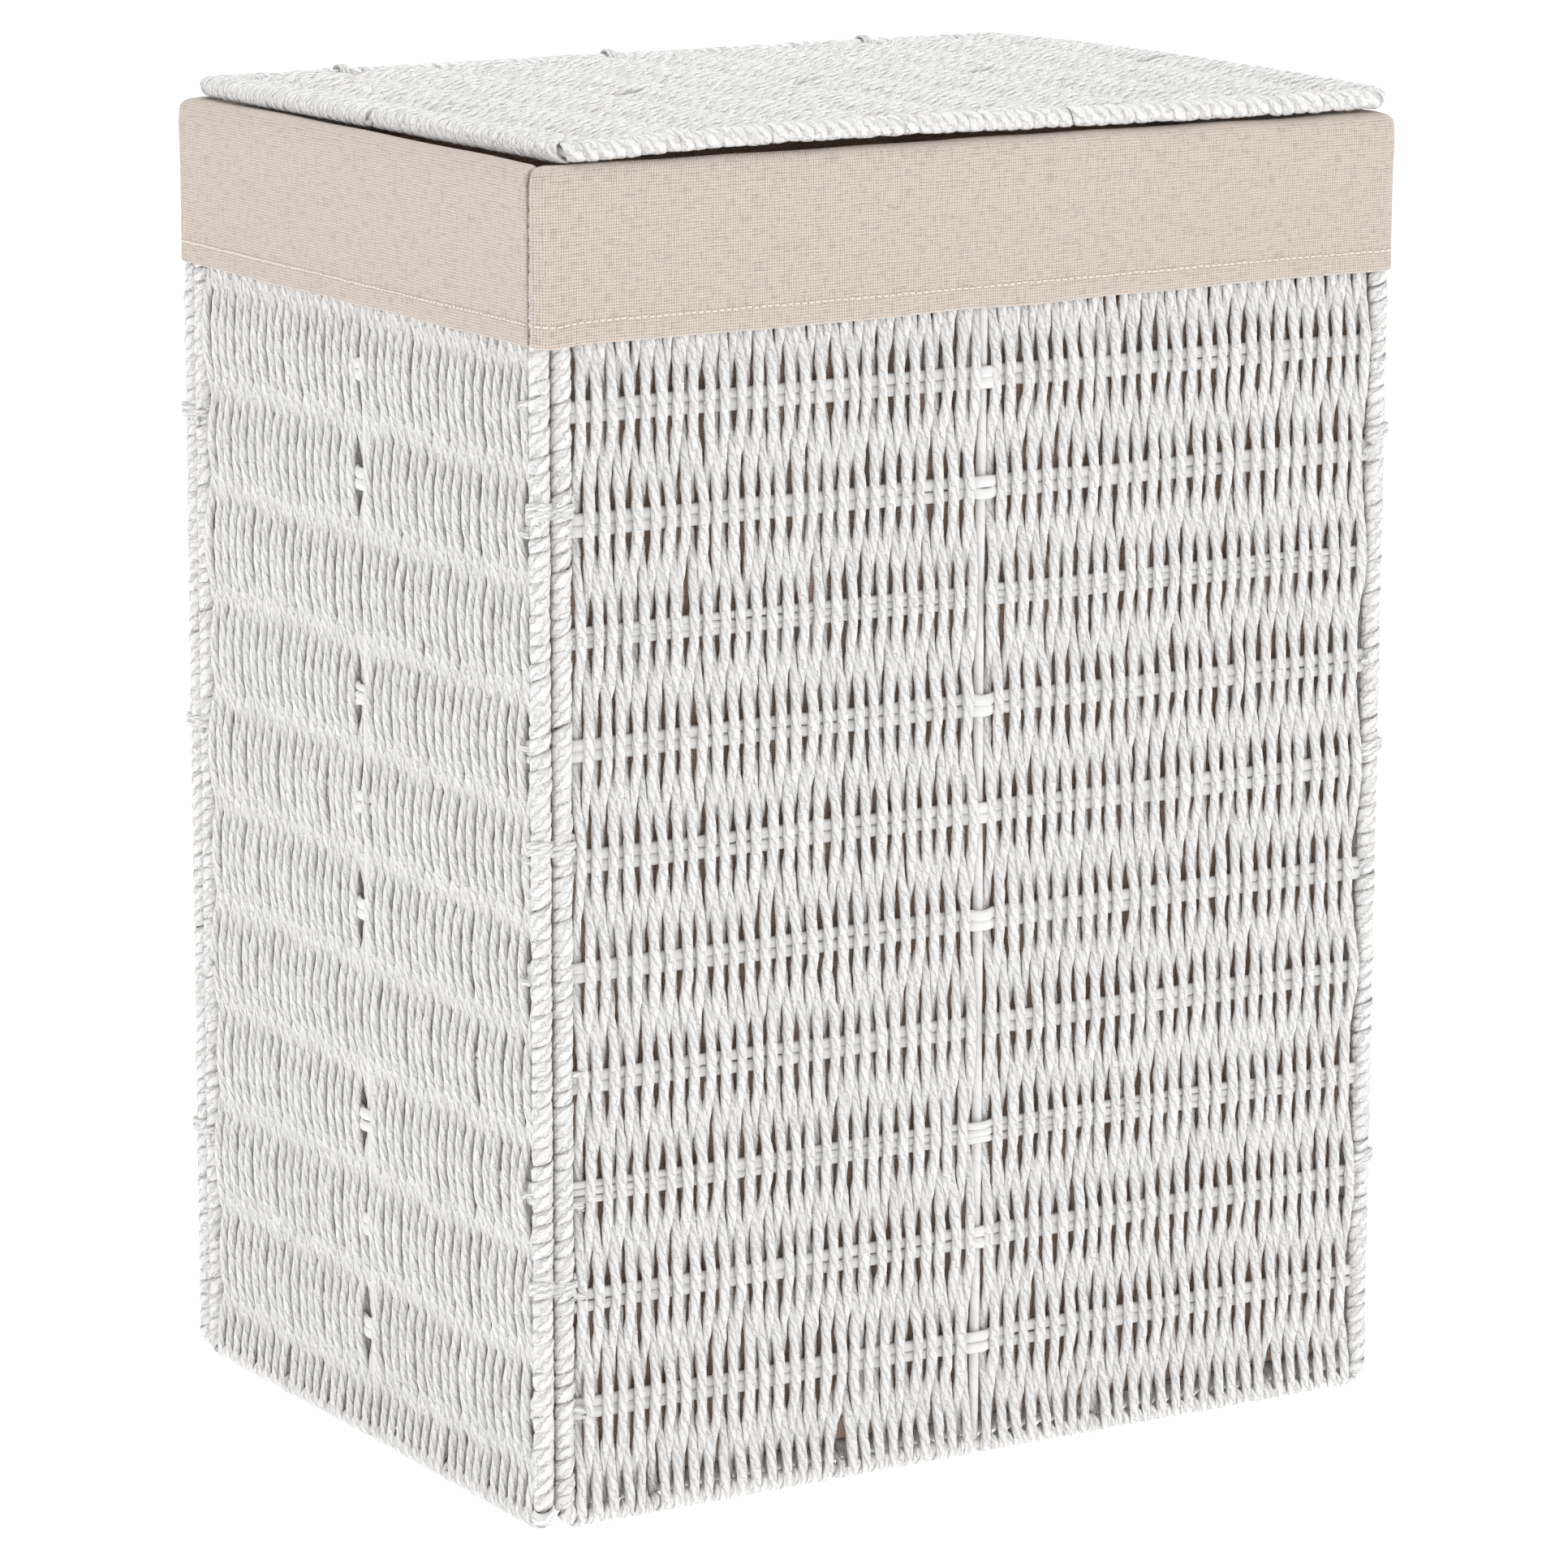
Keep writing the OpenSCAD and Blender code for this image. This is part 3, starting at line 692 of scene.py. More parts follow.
def cuff_cloth(cuff):
    """The cuff as one sheet, carried round the rim along a profile: up inside the bag, over the rim in a curve,
    down outside, round the fold at its lower edge and up inside again as the hem. The crown over the rim is the
    curve out = -7.7 -+ 6.4 |cos a|^0.7, z = top - 7 + 7.8 sin^0.5 a, with a dip at each seam and 1.2 mm lower along
    the back, where the lid's winding turns. It is open where the hinge loops go through."""
    low, top = cuff.low, cuff.top
    a = np.linspace(0, np.pi, 15)
    c, s = np.cos(a), np.sin(a)
    over = np.stack([-7.7 - 6.4 * np.sign(c) * np.abs(c) ** 0.7, top - 7.0 + 7.8 * s**0.5], -1)
    inside = np.stack([np.full(5, -14.1), np.linspace(top - 17, top - 8.2, 5)], -1)
    face_z = [np.linspace(top - 9, low + 12.5, 17), np.linspace(low + 11.4, low + 6.4, 8)]
    face_z = np.concatenate([*face_z, [low + 4.6, low + 2.6, low + 1.0]])
    face = np.stack([CUFF_FACE + 0.15 * bell(face_z - (top - 12), 8) - 0.2 * bell(face_z - (low + 20), 30), face_z], -1)
    b = np.linspace(0.35, np.pi, 6)
    fold = np.stack([face[-1, 0] - 0.55 + 0.55 * np.cos(b), low + 0.95 - 0.55 * np.sin(b)], -1)
    hem = np.stack([np.full(4, fold[-1, 0]), np.linspace(low + 2.5, low + 9, 4)], -1)
    profile = np.concatenate([inside, over, face, fold, hem])
    outer = np.zeros(len(profile))
    outer[len(inside) + 6 : len(inside) + len(over) + len(face)] = 1
    outer[len(inside) + 2 : len(inside) + 6] = np.linspace(0.1, 0.9, 4)
    outer[len(inside) + len(over) + len(face) :] = 0.6
    along = cuff.length[None]
    z = profile[:, 1:]
    rng = np.random.default_rng(31)
    edge = soft_waves(rng, cuff.round, 0 * along, along, 5, 0.28)
    crown = soft_waves(rng, cuff.round, 0 * along, along, 6, 0.2)
    near_low = bell(z - low, 26)
    near_top = bell(z - top, 7)
    pucker = sum(bell(cuff.away(along, at), 1.7) for at in cuff.seams)
    pressed = 1.2 * np.exp(-((cuff.away(along, cuff.back_middle) / 190) ** 6))
    z = z + edge * near_low + (crown - 0.2 - 1.3 * pucker - pressed) * near_top
    out = profile[:, :1] + outer[:, None] * cuff.ease(along, z)
    z = z + cuff.rise(along, z) * (outer[:, None] > 0)
    points = band_points(cuff.columns, cuff.half_x, cuff.half_y, cuff.radius, out, z)
    run = np.concatenate([[0], np.cumsum(np.linalg.norm(np.diff(profile, axis=0), axis=1))])
    lay = np.stack(np.broadcast_arrays(along, run[:, None]), -1) / 1000
    back = (cuff.columns[:, 1] > 0.999) & (np.abs(cuff.columns[:, 2] - np.pi / 2) < 1e-6)
    x = (cuff.half_x - cuff.radius) * cuff.columns[:, 0]
    middle = (x + np.roll(x, -1)) / 2
    in_slit = back & np.roll(back, -1) & (np.min([np.abs(middle - s) for s in cuff.slits], axis=0) < 2.6)
    row_z = (profile[1:, 1] + profile[:-1, 1]) / 2
    high_row = (row_z > top - 12.4) & (np.arange(len(row_z)) < len(inside) + len(over) + len(face))
    keep = ~(high_row[:, None] & in_slit[None])
    surface = grid_surface(points, lay, closed=True, keep=keep)
    return [surface], cuff.round / 1000, run[-1] / 1000


def hem_stitches(cuff):
    """The hem's row of stitches: short cords that dive into the cloth at both ends, 0.5 sin^0.7(pi s) over it."""
    stitch = bpy.context.scene.basket_sizes.stitch * 1000
    count = int(cuff.round / stitch)
    rng = np.random.default_rng(5)
    s = np.linspace(0, 1, 5)
    centre = (np.arange(count) + 0.5)[:, None] * cuff.round / count
    along = centre + (s - 0.5) * (stitch - 0.95) + 0.08 * rng.normal(size=(count, 1))
    z = cuff.low + HEM_STITCH + 0.1 * rng.normal(size=(count, 1)) + 0 * along
    out = CUFF_FACE + THREAD_OUT + cuff.ease(along, z) + 0.5 * np.sin(np.pi * s) ** 0.7
    line = outline_points(cuff, along, out, z + cuff.rise(along, z))
    return [cord_surface(line, np.array([0, 0, 1.0]), 0.38, 0.28, 5, rng.uniform(0, 400, (count, 1)))]


def seam_stitches(cuff):
    """Stitches across the bottom of each seam's groove, 3.2 mm apart from the hem to the rim."""
    s = np.linspace(0, 1, 5)
    z = np.arange(cuff.low + 11, cuff.top - 10, 3.2)
    surfaces = []
    for at in cuff.seams:
        along = at + (s - 0.5)[None] * 0.5 + 0 * z[:, None]
        height = z[:, None] + (s - 0.5)[None] * 2.3
        out = CUFF_FACE + THREAD_OUT + cuff.ease(along, height) + 0.25 * np.sin(np.pi * s)
        line = outline_points(cuff, along, out, height)
        surfaces.append(cord_surface(line, np.array([0, 1.0, 0]), 0.26, 0.2, 5, z[:, None]))
    return surfaces


def outline_points(cuff, along, out, z):
    """Points on the cuff at lengths along its outline, moved outwards by out."""
    length = np.append(cuff.length, cuff.round)
    along = along % cuff.round
    base = band_points(cuff.columns, cuff.half_x, cuff.half_y, cuff.radius, 0.0, 0.0)
    away = band_points(cuff.columns, cuff.half_x, cuff.half_y, cuff.radius, 1.0, 0.0) - base
    base, away = (np.concatenate([a, a[:1]]) for a in (base, away))
    point = np.stack([np.interp(along, length, base[:, i]) for i in (0, 1)], -1)
    shift = np.stack([np.interp(along, length, away[:, i]) for i in (0, 1)], -1)
    return np.concatenate([point + out[..., None] * shift, z[..., None]], -1)


def bag_walls():
    """The bag's walls as one upright band. Its cloth hangs in soft folds that move inwards only, up to 2.4 mm in the
    middle of the height and nothing at the rim."""
    low, high = (1000 * np.array(corner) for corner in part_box("liner_walls"))
    half_x, half_y, radius = high[0] + 0.4, high[1] + 0.4, 5.0
    columns, length = band_columns(half_x, half_y, radius, 5.0, [[0.0]] * 4)
    z = np.linspace(low[2] - 0.2, high[2] - 6, 44)[:, None]
    share = (z - z[0]) / (z[-1] - z[0])
    rng = np.random.default_rng(9)
    along = columns[None, :, 3]
    folds = soft_waves(rng, length, z * 0.6, along, 6, 1.0)
    inwards = (0.5 + 0.5 * np.tanh(folds)) ** 1.5 * 2.4 * np.sin(np.pi * share.clip(0, 1)) ** 0.6
    corner = np.minimum(np.abs(columns[:, 0]), np.abs(columns[:, 1]))[None]
    inwards = inwards * (1 - corner**6)
    points = band_points(columns, half_x, half_y, radius, -inwards, z)
    lay = np.stack(np.broadcast_arrays(along, z - z[0]), -1) / 1000
    return [grid_surface(points, lay, closed=True)], length / 1000, float(z[-1, 0] - z[0, 0]) / 1000


def bag_floor():
    """The bag's floor: rings of a rounded rectangle that shrink to one middle point, with low waves."""
    low, high = (1000 * np.array(corner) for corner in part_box("liner_floor"))
    half_x, half_y, radius = high[0] - 1.5, high[1] - 1.5, 5.0
    columns, _ = band_columns(half_x, half_y, radius, 7.0, [[0.0]] * 4)
    rim = band_points(columns, half_x, half_y, radius, 0.0, 0.0)
    share = np.linspace(1, 0, 26)[:-1, None, None]
    points = rim[None] * share
    wave = np.sin(points[..., 0] / 31 + 1) * np.sin(points[..., 1] / 24) * (1 - share[..., 0] ** 8)
    points[..., 2] = low[2] + 0.9 + 0.5 * wave
    middle = np.array([[0, 0, low[2] + 0.9]])
    co, faces = grid_surface(points, points[..., :2] / 1000, closed=True)
    quads, _ = faces[0]
    count, last = len(columns), (len(share) - 1) * len(columns)
    k = np.arange(count)
    fan = np.stack([last + k, last + (k + 1) % count, np.full(count, len(co))], -1)
    co = np.concatenate([co, middle])
    lay = co[:, :2] / 1000
    return [(co, [(quads, lay[quads]), (fan, lay[fan])])], 2 * half_x / 1000, 2 * half_y / 1000


# Materials


def add_node(tree, kind, settings=None, **links):
    """Adds a node, sets its properties and input values, and links the named inputs; in0 and so on are inputs by
    number."""
    node = tree.nodes.new(kind)
    for key, value in (settings or {}).items():
        if isinstance(key, str) and hasattr(node, key):
            setattr(node, key, value)
        else:
            node.inputs[key].default_value = value
    for key, source in links.items():
        numbered = key.startswith("in") and key[2:].isdigit()
        tree.links.new(source, node.inputs[int(key[2:]) if numbered else key])
    return node


def compute(tree, operation, *inputs):
    """A Math node's result, from inputs that are numbers or other nodes' outputs."""
    numbers = {i: value for i, value in enumerate(inputs) if isinstance(value, float)}
    outputs = {f"in{i}": value for i, value in enumerate(inputs) if not isinstance(value, float)}
    return add_node(tree, "ShaderNodeMath", {"operation": operation, **numbers}, **outputs).outputs[0]


def count_along(tree, lay, direction):
    """The lay times a direction: how many periods of a pattern have gone by, where the direction is given in
    periods per metre along the cord and per turn round it."""
    return add_node(tree, "ShaderNodeVectorMath", {"operation": "DOT_PRODUCT", 1: direction}, in0=lay).outputs["Value"]


def noise(tree, place, scale, detail, roughness=0.5):
    """A noise texture's value at a place."""
    settings = {"Scale": scale, "Detail": detail, "Roughness": roughness}
    return add_node(tree, "ShaderNodeTexNoise", settings, Vector=place).outputs["Fac"]


def stretched(tree, lay, scale):
    """The lay stretched by a scale along each of its axes."""
    return add_node(tree, "ShaderNodeMapping", {"vector_type": "POINT", "Scale": scale}, Vector=lay).outputs["Vector"]


def ramp(tree, source, stops):
    """The colour that a colour ramp through (place, colour) stops gives to a value."""
    node = add_node(tree, "ShaderNodeValToRGB", Fac=source)
    elements = node.color_ramp.elements
    while len(elements) < len(stops):
        elements.new(0.5)
    for element, (place, colour) in zip(elements, stops):
        element.position, element.color = place, colour
    return node.outputs["Color"]


def shade(colour, factor):
    """A colour darkened by a factor, for a colour ramp."""
    return (*(c * factor for c in colour), 1)


def times(tree, first, second):
    """Two colours multiplied."""
    settings = {"data_type": "RGBA", "blend_type": "MULTIPLY", 0: 1.0}
    return add_node(tree, "ShaderNodeMix", settings, in6=first, in7=second).outputs[2]


def new_material(name, colour, roughness, sheen=0.0):
    """A material with its shader's fixed values set; returns it with its tree and the piece's lay."""
    material = bpy.data.materials.new(name)
    material.use_nodes = True
    material.diffuse_color = (*colour, 1)
    tree = material.node_tree
    shader = tree.nodes["Principled BSDF"]
    shader.inputs["Base Color"].default_value = (*colour, 1)
    shader.inputs["Roughness"].default_value = roughness
    shader.inputs["Sheen Weight"].default_value = sheen
    return material, tree, add_node(tree, "ShaderNodeUVMap", {"uv_map": "lay"}).outputs["UV"]


def set_face(material, colour, height, strength, depth):
    """Gives a material its colour pattern and a bump from a height, and returns it."""
    tree = material.node_tree
    shader = tree.nodes["Principled BSDF"]
    tree.links.new(colour, shader.inputs["Base Color"])
    bump = add_node(tree, "ShaderNodeBump", {"Strength": strength, "Distance": depth}, Height=height)
    tree.links.new(bump.outputs["Normal"], shader.inputs["Normal"])
    return material


def paper_cord(colour):
    """Bleached kraft paper twisted into cord: soft matt white with slanted creases every 7 mm, fine pleats between
    them that slant with them, and a crumpled skin, so that each cord reads as rolled paper."""
    material, tree, lay = new_material("Twisted paper cord", colour, 0.8, 0.1)
    crumple = noise(tree, add_node(tree, "ShaderNodeTexCoord").outputs["Object"], 420.0, 2.0, 0.6)
    # Creases where U / 7 mm + 4 V + 1.5 noise is a whole number
    helix = count_along(tree, lay, (1000 / 7.0, 4.0, 0))
    fold = compute(tree, "PINGPONG", compute(tree, "MULTIPLY_ADD", crumple, 1.5, helix), 0.5)
    settings = {"interpolation_type": "SMOOTHSTEP", "From Max": 0.22}
    crease = add_node(tree, "ShaderNodeMapRange", settings, Value=fold).outputs["Result"]
    # Pleats: noise that changes every 2 mm across the creases' direction and every 9 mm along it
    slant = add_node(
        tree, "ShaderNodeCombineXYZ",
        X=compute(tree, "MULTIPLY", helix, 3.2), Y=count_along(tree, lay, (1000 / 9.0, 0, 0)),
    )
    pleat = noise(tree, slant.outputs[0], 1.0, 2.0)
    # Painted shade: the cord is darker where the pleats are low, in their hollows
    base = ramp(tree, pleat, [(0.34, shade(colour, 0.91)), (0.6, shade(colour, 1.0))])
    # Painted shade: grey in the bottom of each crease, where shade falls in the groove
    painted_crease_shade = ramp(tree, crease, [(0.0, (0.86, 0.85, 0.83, 1)), (0.5, (1, 1, 1, 1))])
    height = compute(tree, "MULTIPLY_ADD", crumple, 0.5, compute(tree, "MULTIPLY_ADD", pleat, 1.6, crease))
    return set_face(material, times(tree, base, painted_crease_shade), height, 0.9, 0.0005)


def flat_cord(colour):
    """Folded paper laid flat, not twisted: fine pleats along its length and a slightly smoother face."""
    material, tree, lay = new_material("Flat paper cord", colour, 0.7, 0.05)
    pleat = noise(tree, stretched(tree, lay, (45.0, 9.0, 1.0)), 1.0, 3.0)
    # Painted shade: darker where the pleats are low, in their hollows
    base = ramp(tree, pleat, [(0.3, shade(colour, 0.86)), (0.62, shade(colour, 0.97))])
    return set_face(material, base, pleat, 0.6, 0.0003)


def taped_rod(colour):
    """Steel rod wound with a strip of paper tape: smooth and even, with a thin edge once in 9 mm."""
    material, tree, lay = new_material("Paper-taped rod", colour, 0.6)
    step = compute(tree, "FRACT", count_along(tree, lay, (1000 / 9.0, 1.0, 0)))
    # Painted shade: the dark line where the tape steps down at its edge
    base = ramp(tree, step, [(0.0, shade(colour, 0.72)), (0.06, shade(colour, 0.95)), (1.0, shade(colour, 0.9))])
    return set_face(material, base, step, 0.5, 0.0003)


def coated_wire(colour):
    """Steel wire dipped in soft plastic: a pale satin coat with a slight orange-peel skin."""
    material, tree, _ = new_material("Plastic-coated wire", colour, 0.42)
    skin = noise(tree, add_node(tree, "ShaderNodeTexCoord").outputs["Object"], 700.0, 1.0)
    # Painted shade: the coat is darker in the skin's dimples, where its height is low
    base = ramp(tree, skin, [(0.3, shade(colour, 0.92)), (0.7, shade(colour, 1.0))])
    return set_face(material, base, skin, 0.3, 0.0001)


def woven_linen(name, colour):
    """Plain-woven linen and cotton: threads 1.1 mm apart that pass over and under each other, so the face is a grid
    of pebbles h = |sin(pi X) sin(pi Y)| with a pinhole between each four, painted dark as shade, where
    sin^2(pi X) + sin^2(pi Y) = 0; each thread is a little thick and thin along its length (slubs)."""
    material, tree, lay = new_material(name, colour, 0.9, 0.15)
    wobble = noise(tree, lay, 320.0, 1.0)
    waves, slubs = [], []
    for run, stretch in (((1000 / 1.1, 0, 0), (900.0, 150.0, 1.0)), ((0, 1000 / 1.1, 0), (150.0, 900.0, 1.0))):
        moved = compute(tree, "MULTIPLY_ADD", wobble, 0.7, count_along(tree, lay, run))
        waves.append(compute(tree, "SINE", compute(tree, "MULTIPLY", moved, math.pi)))
        slubs.append(noise(tree, stretched(tree, lay, stretch), 1.0, 1.0))
    pebble = compute(tree, "ABSOLUTE", compute(tree, "MULTIPLY", *waves))
    dots = compute(tree, "MULTIPLY_ADD", waves[1], waves[1], compute(tree, "MULTIPLY", waves[0], waves[0]))
    both = compute(tree, "ADD", *slubs)
    tone = ramp(tree, both, [(0.76, shade(colour, 0.85)), (1.02, shade(colour, 1.03))])
    # Painted shade: the pinholes between the threads are painted dark brown
    gaps = ramp(tree, dots, [(0.0, (0.42, 0.38, 0.34, 1)), (0.8, (1, 1, 1, 1))])
    return set_face(material, times(tree, tone, gaps), compute(tree, "MULTIPLY_ADD", both, 0.6, pebble), 0.7, 0.0004)


def linen_cloth(colour):
    """The cuff's cloth, pale and washed."""
    return woven_linen("Linen-cotton cloth", colour)


def bag_cloth(colour):
    """The bag's cloth: the cuff's kind of linen made lighter and warmer, as painted light and warm shade that shows
    brown between the cords.
    """
    return woven_linen("Linen bag cloth", colour)


def cotton_thread(colour):
    """Cotton sewing thread: matt, with the strands' twist as fine slanted lines 0.6 mm apart."""
    material, tree, lay = new_material("Cotton thread", colour, 0.8, 0.1)
    strand = compute(tree, "PINGPONG", count_along(tree, lay, (1000 / 0.6, 1.0, 0)), 0.5)
    # Painted shade: darker in the grooves between the twisted strands
    base = ramp(tree, strand, [(0.0, shade(colour, 0.82)), (0.3, shade(colour, 1.0))])
    return set_face(material, base, strand, 0.5, 0.0001)


FINISHES = {
    "Twisted paper cord": (paper_cord, "cord"),
    "Flat paper cord": (flat_cord, "cord"),
    "Paper-taped rod": (taped_rod, "cord"),
    "Plastic-coated wire": (coated_wire, "wire"),
    "Linen-cotton cloth": (linen_cloth, "cloth"),
    "Cotton thread": (cotton_thread, "thread"),
    "Linen bag cloth": (bag_cloth, "lining"),
}


def finish_of(name):
    """The named material, made once."""
    if name not in bpy.data.materials:
        make, colour = FINISHES[name]
        make(tuple(getattr(bpy.context.scene.basket_colours, colour)))
    return bpy.data.materials[name]


# Operators


def add_cord(name, surfaces, body, nodes=(), finish="Twisted paper cord"):
    """Makes a piece of paper cord that rides on a body and stands for CAD nodes."""
    return add_piece(name, surfaces, body, finish_of(finish), nodes)


class BASKET_OT_weave(bpy.types.Operator):
    """Weave the cords of the six panels"""

    bl_idname = "basket.weave"
    bl_label = "Weave the panels"

    def execute(self, context):
        for number, panel in enumerate(panels()):
            for hand, half in ((-1, "first"), (1, "second")):
                cords = [weaving_cords(panel, hand, 100 + 10 * number + hand)]
                cords += [end_binding(panel, hand, end, 150 + 10 * number + hand + end) for end in (0, 1)]
                add_cord(f"{panel.name}_{half}_weave", cords, panel.body, [panel.name + "_weave"])
        return {"FINISHED"}


class BASKET_OT_stakes(bpy.types.Operator):
    """Lay the stakes and the taped centre stay of each panel"""

    bl_idname = "basket.stakes"
    bl_label = "Lay the stakes and stays"

    def execute(self, context):
        for number, panel in enumerate(panels()):
            for piece, surfaces, node, finish in (
                ("flat_stakes", stake_strands(panel, 200 + number), "stakes", "Flat paper cord"),
                ("taped_stay", centre_stay(panel, 210 + number), "stay", "Paper-taped rod"),
            ):
                add_cord(f"{panel.name}_{piece}", surfaces, panel.body, [f"{panel.name}_{node}"], finish)
        return {"FINISHED"}


class BASKET_OT_windings(bpy.types.Operator):
    """Wind cord round the side rods of each panel"""

    bl_idname = "basket.windings"
    bl_label = "Wind the edges"

    def execute(self, context):
        names = {
            "front": ("left", "right"), "right": ("front", "back"), "back": ("right", "left"),
            "left": ("back", "front"), "base": ("front", "back"), "lid": ("back", "front"),
        }
        for number, panel in enumerate(panels()):
            for side, edge in zip((-1, 1), names[panel.name]):
                surfaces = edge_winding(panel, side, 300 + 10 * number + side)
                add_cord(f"{panel.name}_{edge}_winding", surfaces, panel.body, [f"{panel.name}_{edge}_wrap"])
            if panel.name in WALLS:
                add_cord(f"{panel.name}_tucked_ends", tucked_ends(panel, 400 + number), panel.body)
        return {"FINISHED"}


class BASKET_OT_lashings(bpy.types.Operator):
    """Bind the posts at the corners and the base to the walls"""

    bl_idname = "basket.lashings"
    bl_label = "Tie the lashings"

    def execute(self, context):
        wall = {p.name: p for p in panels()}
        corners = {
            "front_left": (("front", -1), ("left", 1)), "front_right": (("right", -1), ("front", 1)),
            "back_right": (("back", -1), ("right", 1)), "back_left": (("left", -1), ("back", 1)),
        }
        for number, (name, pair) in enumerate(corners.items()):
            surfaces = corner_lashings([(wall[w], side) for w, side in pair], 500 + number)
            add_cord(f"{name}_bindings", surfaces, "basket", [name + "_lashings"])
        base = wall["base"]
        for number, name in enumerate(WALLS):
            panel = wall[name]
            middle = panel.origin @ panel.u
            inner = base.half if name in ("front", "back") else base.length / 2
            surfaces = []
            for place in BASE_TIES[name]:
                first = panel.origin + (place - middle) * panel.u
                second = place * panel.u + inner * panel.n + base.origin[2] * panel.v
                surfaces.append(bound_turns(first, second, panel.u, 3.15, 1.3, 0.95, 2.2, 510.0 + number + place))
            add_cord(f"base_{name}_bindings", surfaces, "basket", [f"base_{name}_lashings"])
        return {"FINISHED"}


class BASKET_OT_hinge_loops(bpy.types.Operator):
    """Tie the three loops that the lid turns in"""

    bl_idname = "basket.hinge_loops"
    bl_label = "Tie the hinge loops"

    def execute(self, context):
        wall = {p.name: p for p in panels()}
        back, lid = wall["back"], wall["lid"]
        for number, name in enumerate(HINGE_LOOPS):
            x = loop_place(name)
            first = np.array([x, back.origin[1], back.origin[2] + back.length])
            second = np.array([x, lid.origin[1] + lid.half, lid.origin[2]])
            loop = bound_turns(first, second, (1, 0, 0), 5.25, 1.2, 0.6, 2.1, 530.0 + number)
            add_cord(f"{name}_cord_loop", [loop], "basket", [f"{name}_hinge_loop"])
        return {"FINISHED"}


class BASKET_OT_wires(bpy.types.Operator):
    """Coat the frames' wire, and bow the lid's wire with the lid"""

    bl_idname = "basket.wires"
    bl_label = "Finish the wire frames"

    def execute(self, context):
        wire = finish_of("Plastic-coated wire")
        for name in (*WALLS, "base"):
            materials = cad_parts[name + "_frame"].data.materials
            materials.clear()
            materials.append(wire)
        lid = panels()[-1]
        add_piece("lid_bowed_frame", panel_wire(lid), "lid", wire, ["lid_frame"])
        return {"FINISHED"}


class BASKET_OT_liner(bpy.types.Operator):
    """Sew the liner: the bag's floor and walls and the cuff over the rim"""

    bl_idname = "basket.liner"
    bl_label = "Sew the liner"

    def execute(self, context):
        linen, lining = finish_of("Linen-cotton cloth"), finish_of("Linen bag cloth")
        surfaces, wide, long = bag_floor()
        floor = add_piece("liner_bag_floor", surfaces, "basket", lining, ["liner_floor"], CLOTH)
        surfaces, wide, long = bag_walls()
        walls = add_piece("liner_bag_walls", surfaces, "basket", lining, ["liner_walls"], CLOTH)
        surfaces, wide, long = cuff_cloth(Cuff())
        nodes = ["liner_cuff", "cuff_hem"]
        cuff = add_piece("liner_turned_cuff", surfaces, "basket", linen, nodes, CLOTH)
        return {"FINISHED"}


class BASKET_OT_stitches(bpy.types.Operator):
    """Sew the row of stitches along the hem and the cuff's upright seams"""

    bl_idname = "basket.stitches"
    bl_label = "Sew the stitches"

    def execute(self, context):
        cuff, thread = Cuff(), finish_of("Cotton thread")
        add_piece("hem_stitches", hem_stitches(cuff), "basket", thread, ["hem_thread"])
        add_piece("seam_stitches", seam_stitches(cuff), "basket", thread, ["seam_threads"])
        return {"FINISHED"}


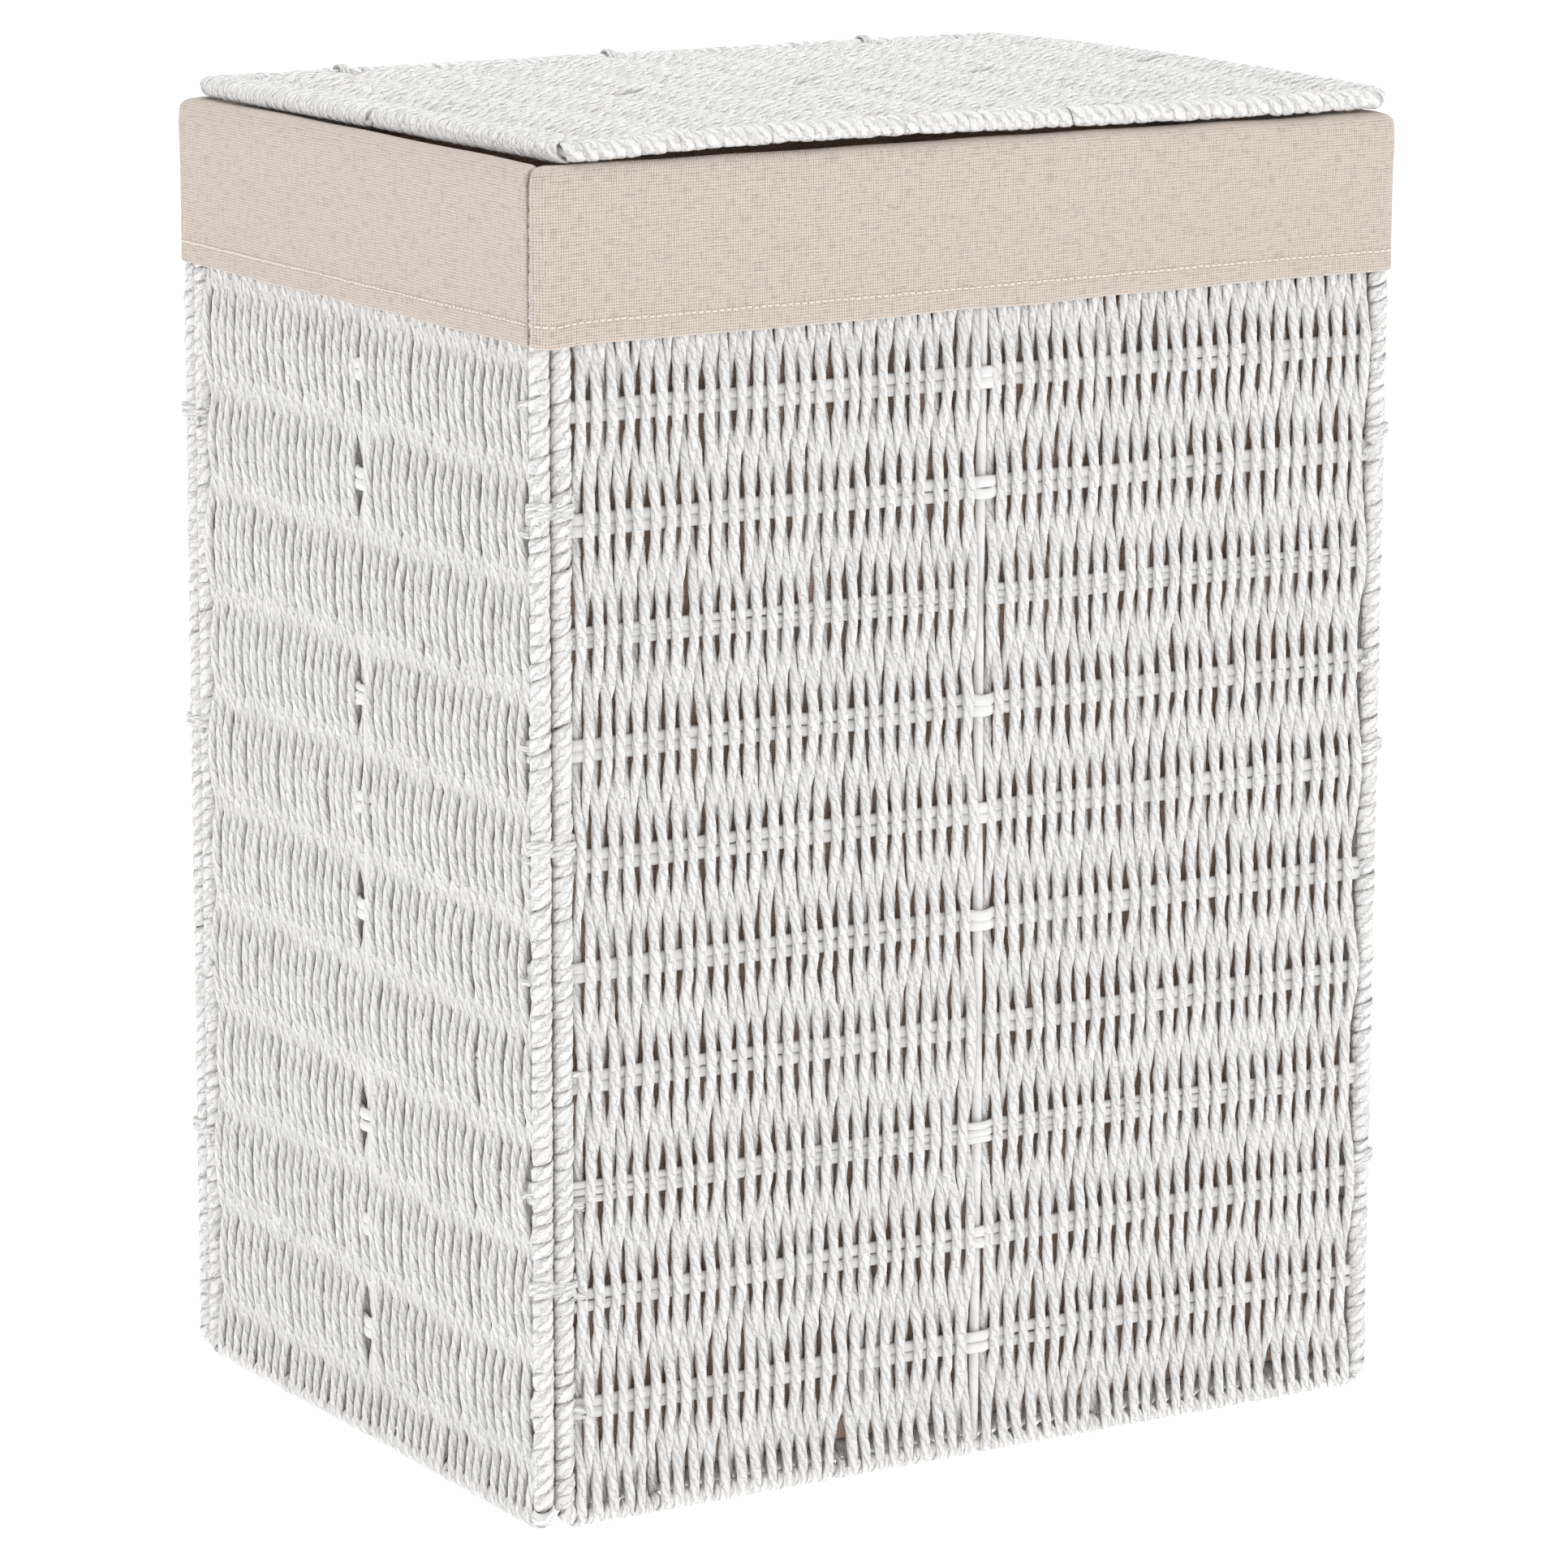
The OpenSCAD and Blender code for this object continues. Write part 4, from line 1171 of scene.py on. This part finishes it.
class BASKET_OT_stage(bpy.types.Operator):
    """Set up the floor, the soft lights and the camera"""

    bl_idname = "basket.stage"
    bl_label = "Set the stage"

    def execute(self, context):
        scene = context.scene
        scene.view_settings.view_transform = "Standard"
        corners = np.array([[-9, -9, 0], [9, -9, 0], [9, 9, 0], [-9, 9, 0]], float) * 1000
        face = (np.array([[0, 1, 2, 3]]), corners[None, :, :2] / 1000)
        floor = bpy.data.objects.new("floor", put_mesh("floor", [(corners, [face])]))
        scene.collection.objects.link(floor)
        paper, tree, _ = new_material("Pale floor", linear("#f6f6f6"), 0.9)
        shader = tree.nodes["Principled BSDF"]
        shader.inputs["Emission Color"].default_value = (1, 1, 1, 1)
        shader.inputs["Emission Strength"].default_value = 0.6
        floor.data.materials.append(paper)
        world = bpy.data.worlds.new("Soft studio")
        world.use_nodes = True
        world.node_tree.nodes["Background"].inputs["Color"].default_value = (1, 1, 1, 1)
        world.node_tree.nodes["Background"].inputs["Strength"].default_value = 0.68
        scene.world = world
        for name, at, size, power in (
            ("Key light", (1.9, -2.1, 1.6), 1.6, 13.5),
            ("Fill light", (-2.4, -0.7, 1.3), 1.6, 7),
            ("Top light", (0.1, 0.2, 2.6), 1.8, 21),
        ):
            lamp = bpy.data.lights.new(name, "AREA")
            lamp.shape, lamp.size, lamp.energy = "DISK", size, power
            light = bpy.data.objects.new(name, lamp)
            light.location = at
            aim = np.array([0, 0, 0.3]) - np.array(at)
            tilt, turn = math.acos(aim[2] / -np.linalg.norm(aim)), math.atan2(aim[1], aim[0]) - math.pi / 2
            light.rotation_euler = (tilt, 0, turn)
            scene.collection.objects.link(light)
        yaw, pitch, roll = (math.radians(a) for a in (31.394, 11.835, -0.178))
        ahead = np.array([math.sin(yaw) * math.cos(pitch), math.cos(yaw) * math.cos(pitch), -math.sin(pitch)])
        right = np.array([math.cos(yaw), -math.sin(yaw), 0])
        down = np.cross(ahead, right)
        across = math.cos(roll) * right + math.sin(roll) * down
        up = math.sin(roll) * right - math.cos(roll) * down
        camera = bpy.data.objects.new("Camera", bpy.data.cameras.new("Camera"))
        camera.data.lens, camera.data.sensor_width = 154.35, 36
        turn = Matrix(np.stack([across, up, -ahead], axis=1).tolist()).to_4x4()
        camera.matrix_world = Matrix.Translation((-1.4274, -2.3427, 0.8273)) @ turn
        scene.collection.objects.link(camera)
        scene.camera = camera
        return {"FINISHED"}


class BASKET_PT_panel(bpy.types.Panel):
    """Lists the basket's pieces, sizes and colours"""

    bl_idname = "BASKET_PT_panel"
    bl_label = "Woven laundry basket"
    bl_space_type = "VIEW_3D"
    bl_region_type = "UI"
    bl_category = "Basket"

    def draw(self, context):
        column = self.layout.column()
        for group in (context.scene.basket_sizes, context.scene.basket_colours):
            for name in group.__annotations__:
                column.prop(group, name)
        for operator in OPERATORS:
            column.operator(operator.bl_idname)


OPERATORS = (
    BASKET_OT_weave, BASKET_OT_stakes, BASKET_OT_windings, BASKET_OT_lashings, BASKET_OT_hinge_loops,
    BASKET_OT_wires, BASKET_OT_liner, BASKET_OT_stitches, BASKET_OT_stage,
)
CLASSES = (BasketSizes, BasketColours, *OPERATORS, BASKET_PT_panel)


def register():
    for cls in CLASSES:
        bpy.utils.register_class(cls)
    bpy.types.Scene.basket_sizes = PointerProperty(type=BasketSizes)
    bpy.types.Scene.basket_colours = PointerProperty(type=BasketColours)


def unregister():
    del bpy.types.Scene.basket_colours
    del bpy.types.Scene.basket_sizes
    for cls in reversed(CLASSES):
        bpy.utils.unregister_class(cls)


def main():
    """Registers the add-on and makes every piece."""
    register()
    bpy.ops.basket.weave()
    bpy.ops.basket.stakes()
    bpy.ops.basket.windings()
    bpy.ops.basket.lashings()
    bpy.ops.basket.hinge_loops()
    bpy.ops.basket.wires()
    bpy.ops.basket.liner()
    bpy.ops.basket.stitches()
    bpy.ops.basket.stage()
    bpy.context.view_layer.update()


if __name__ == "__main__":
    main()
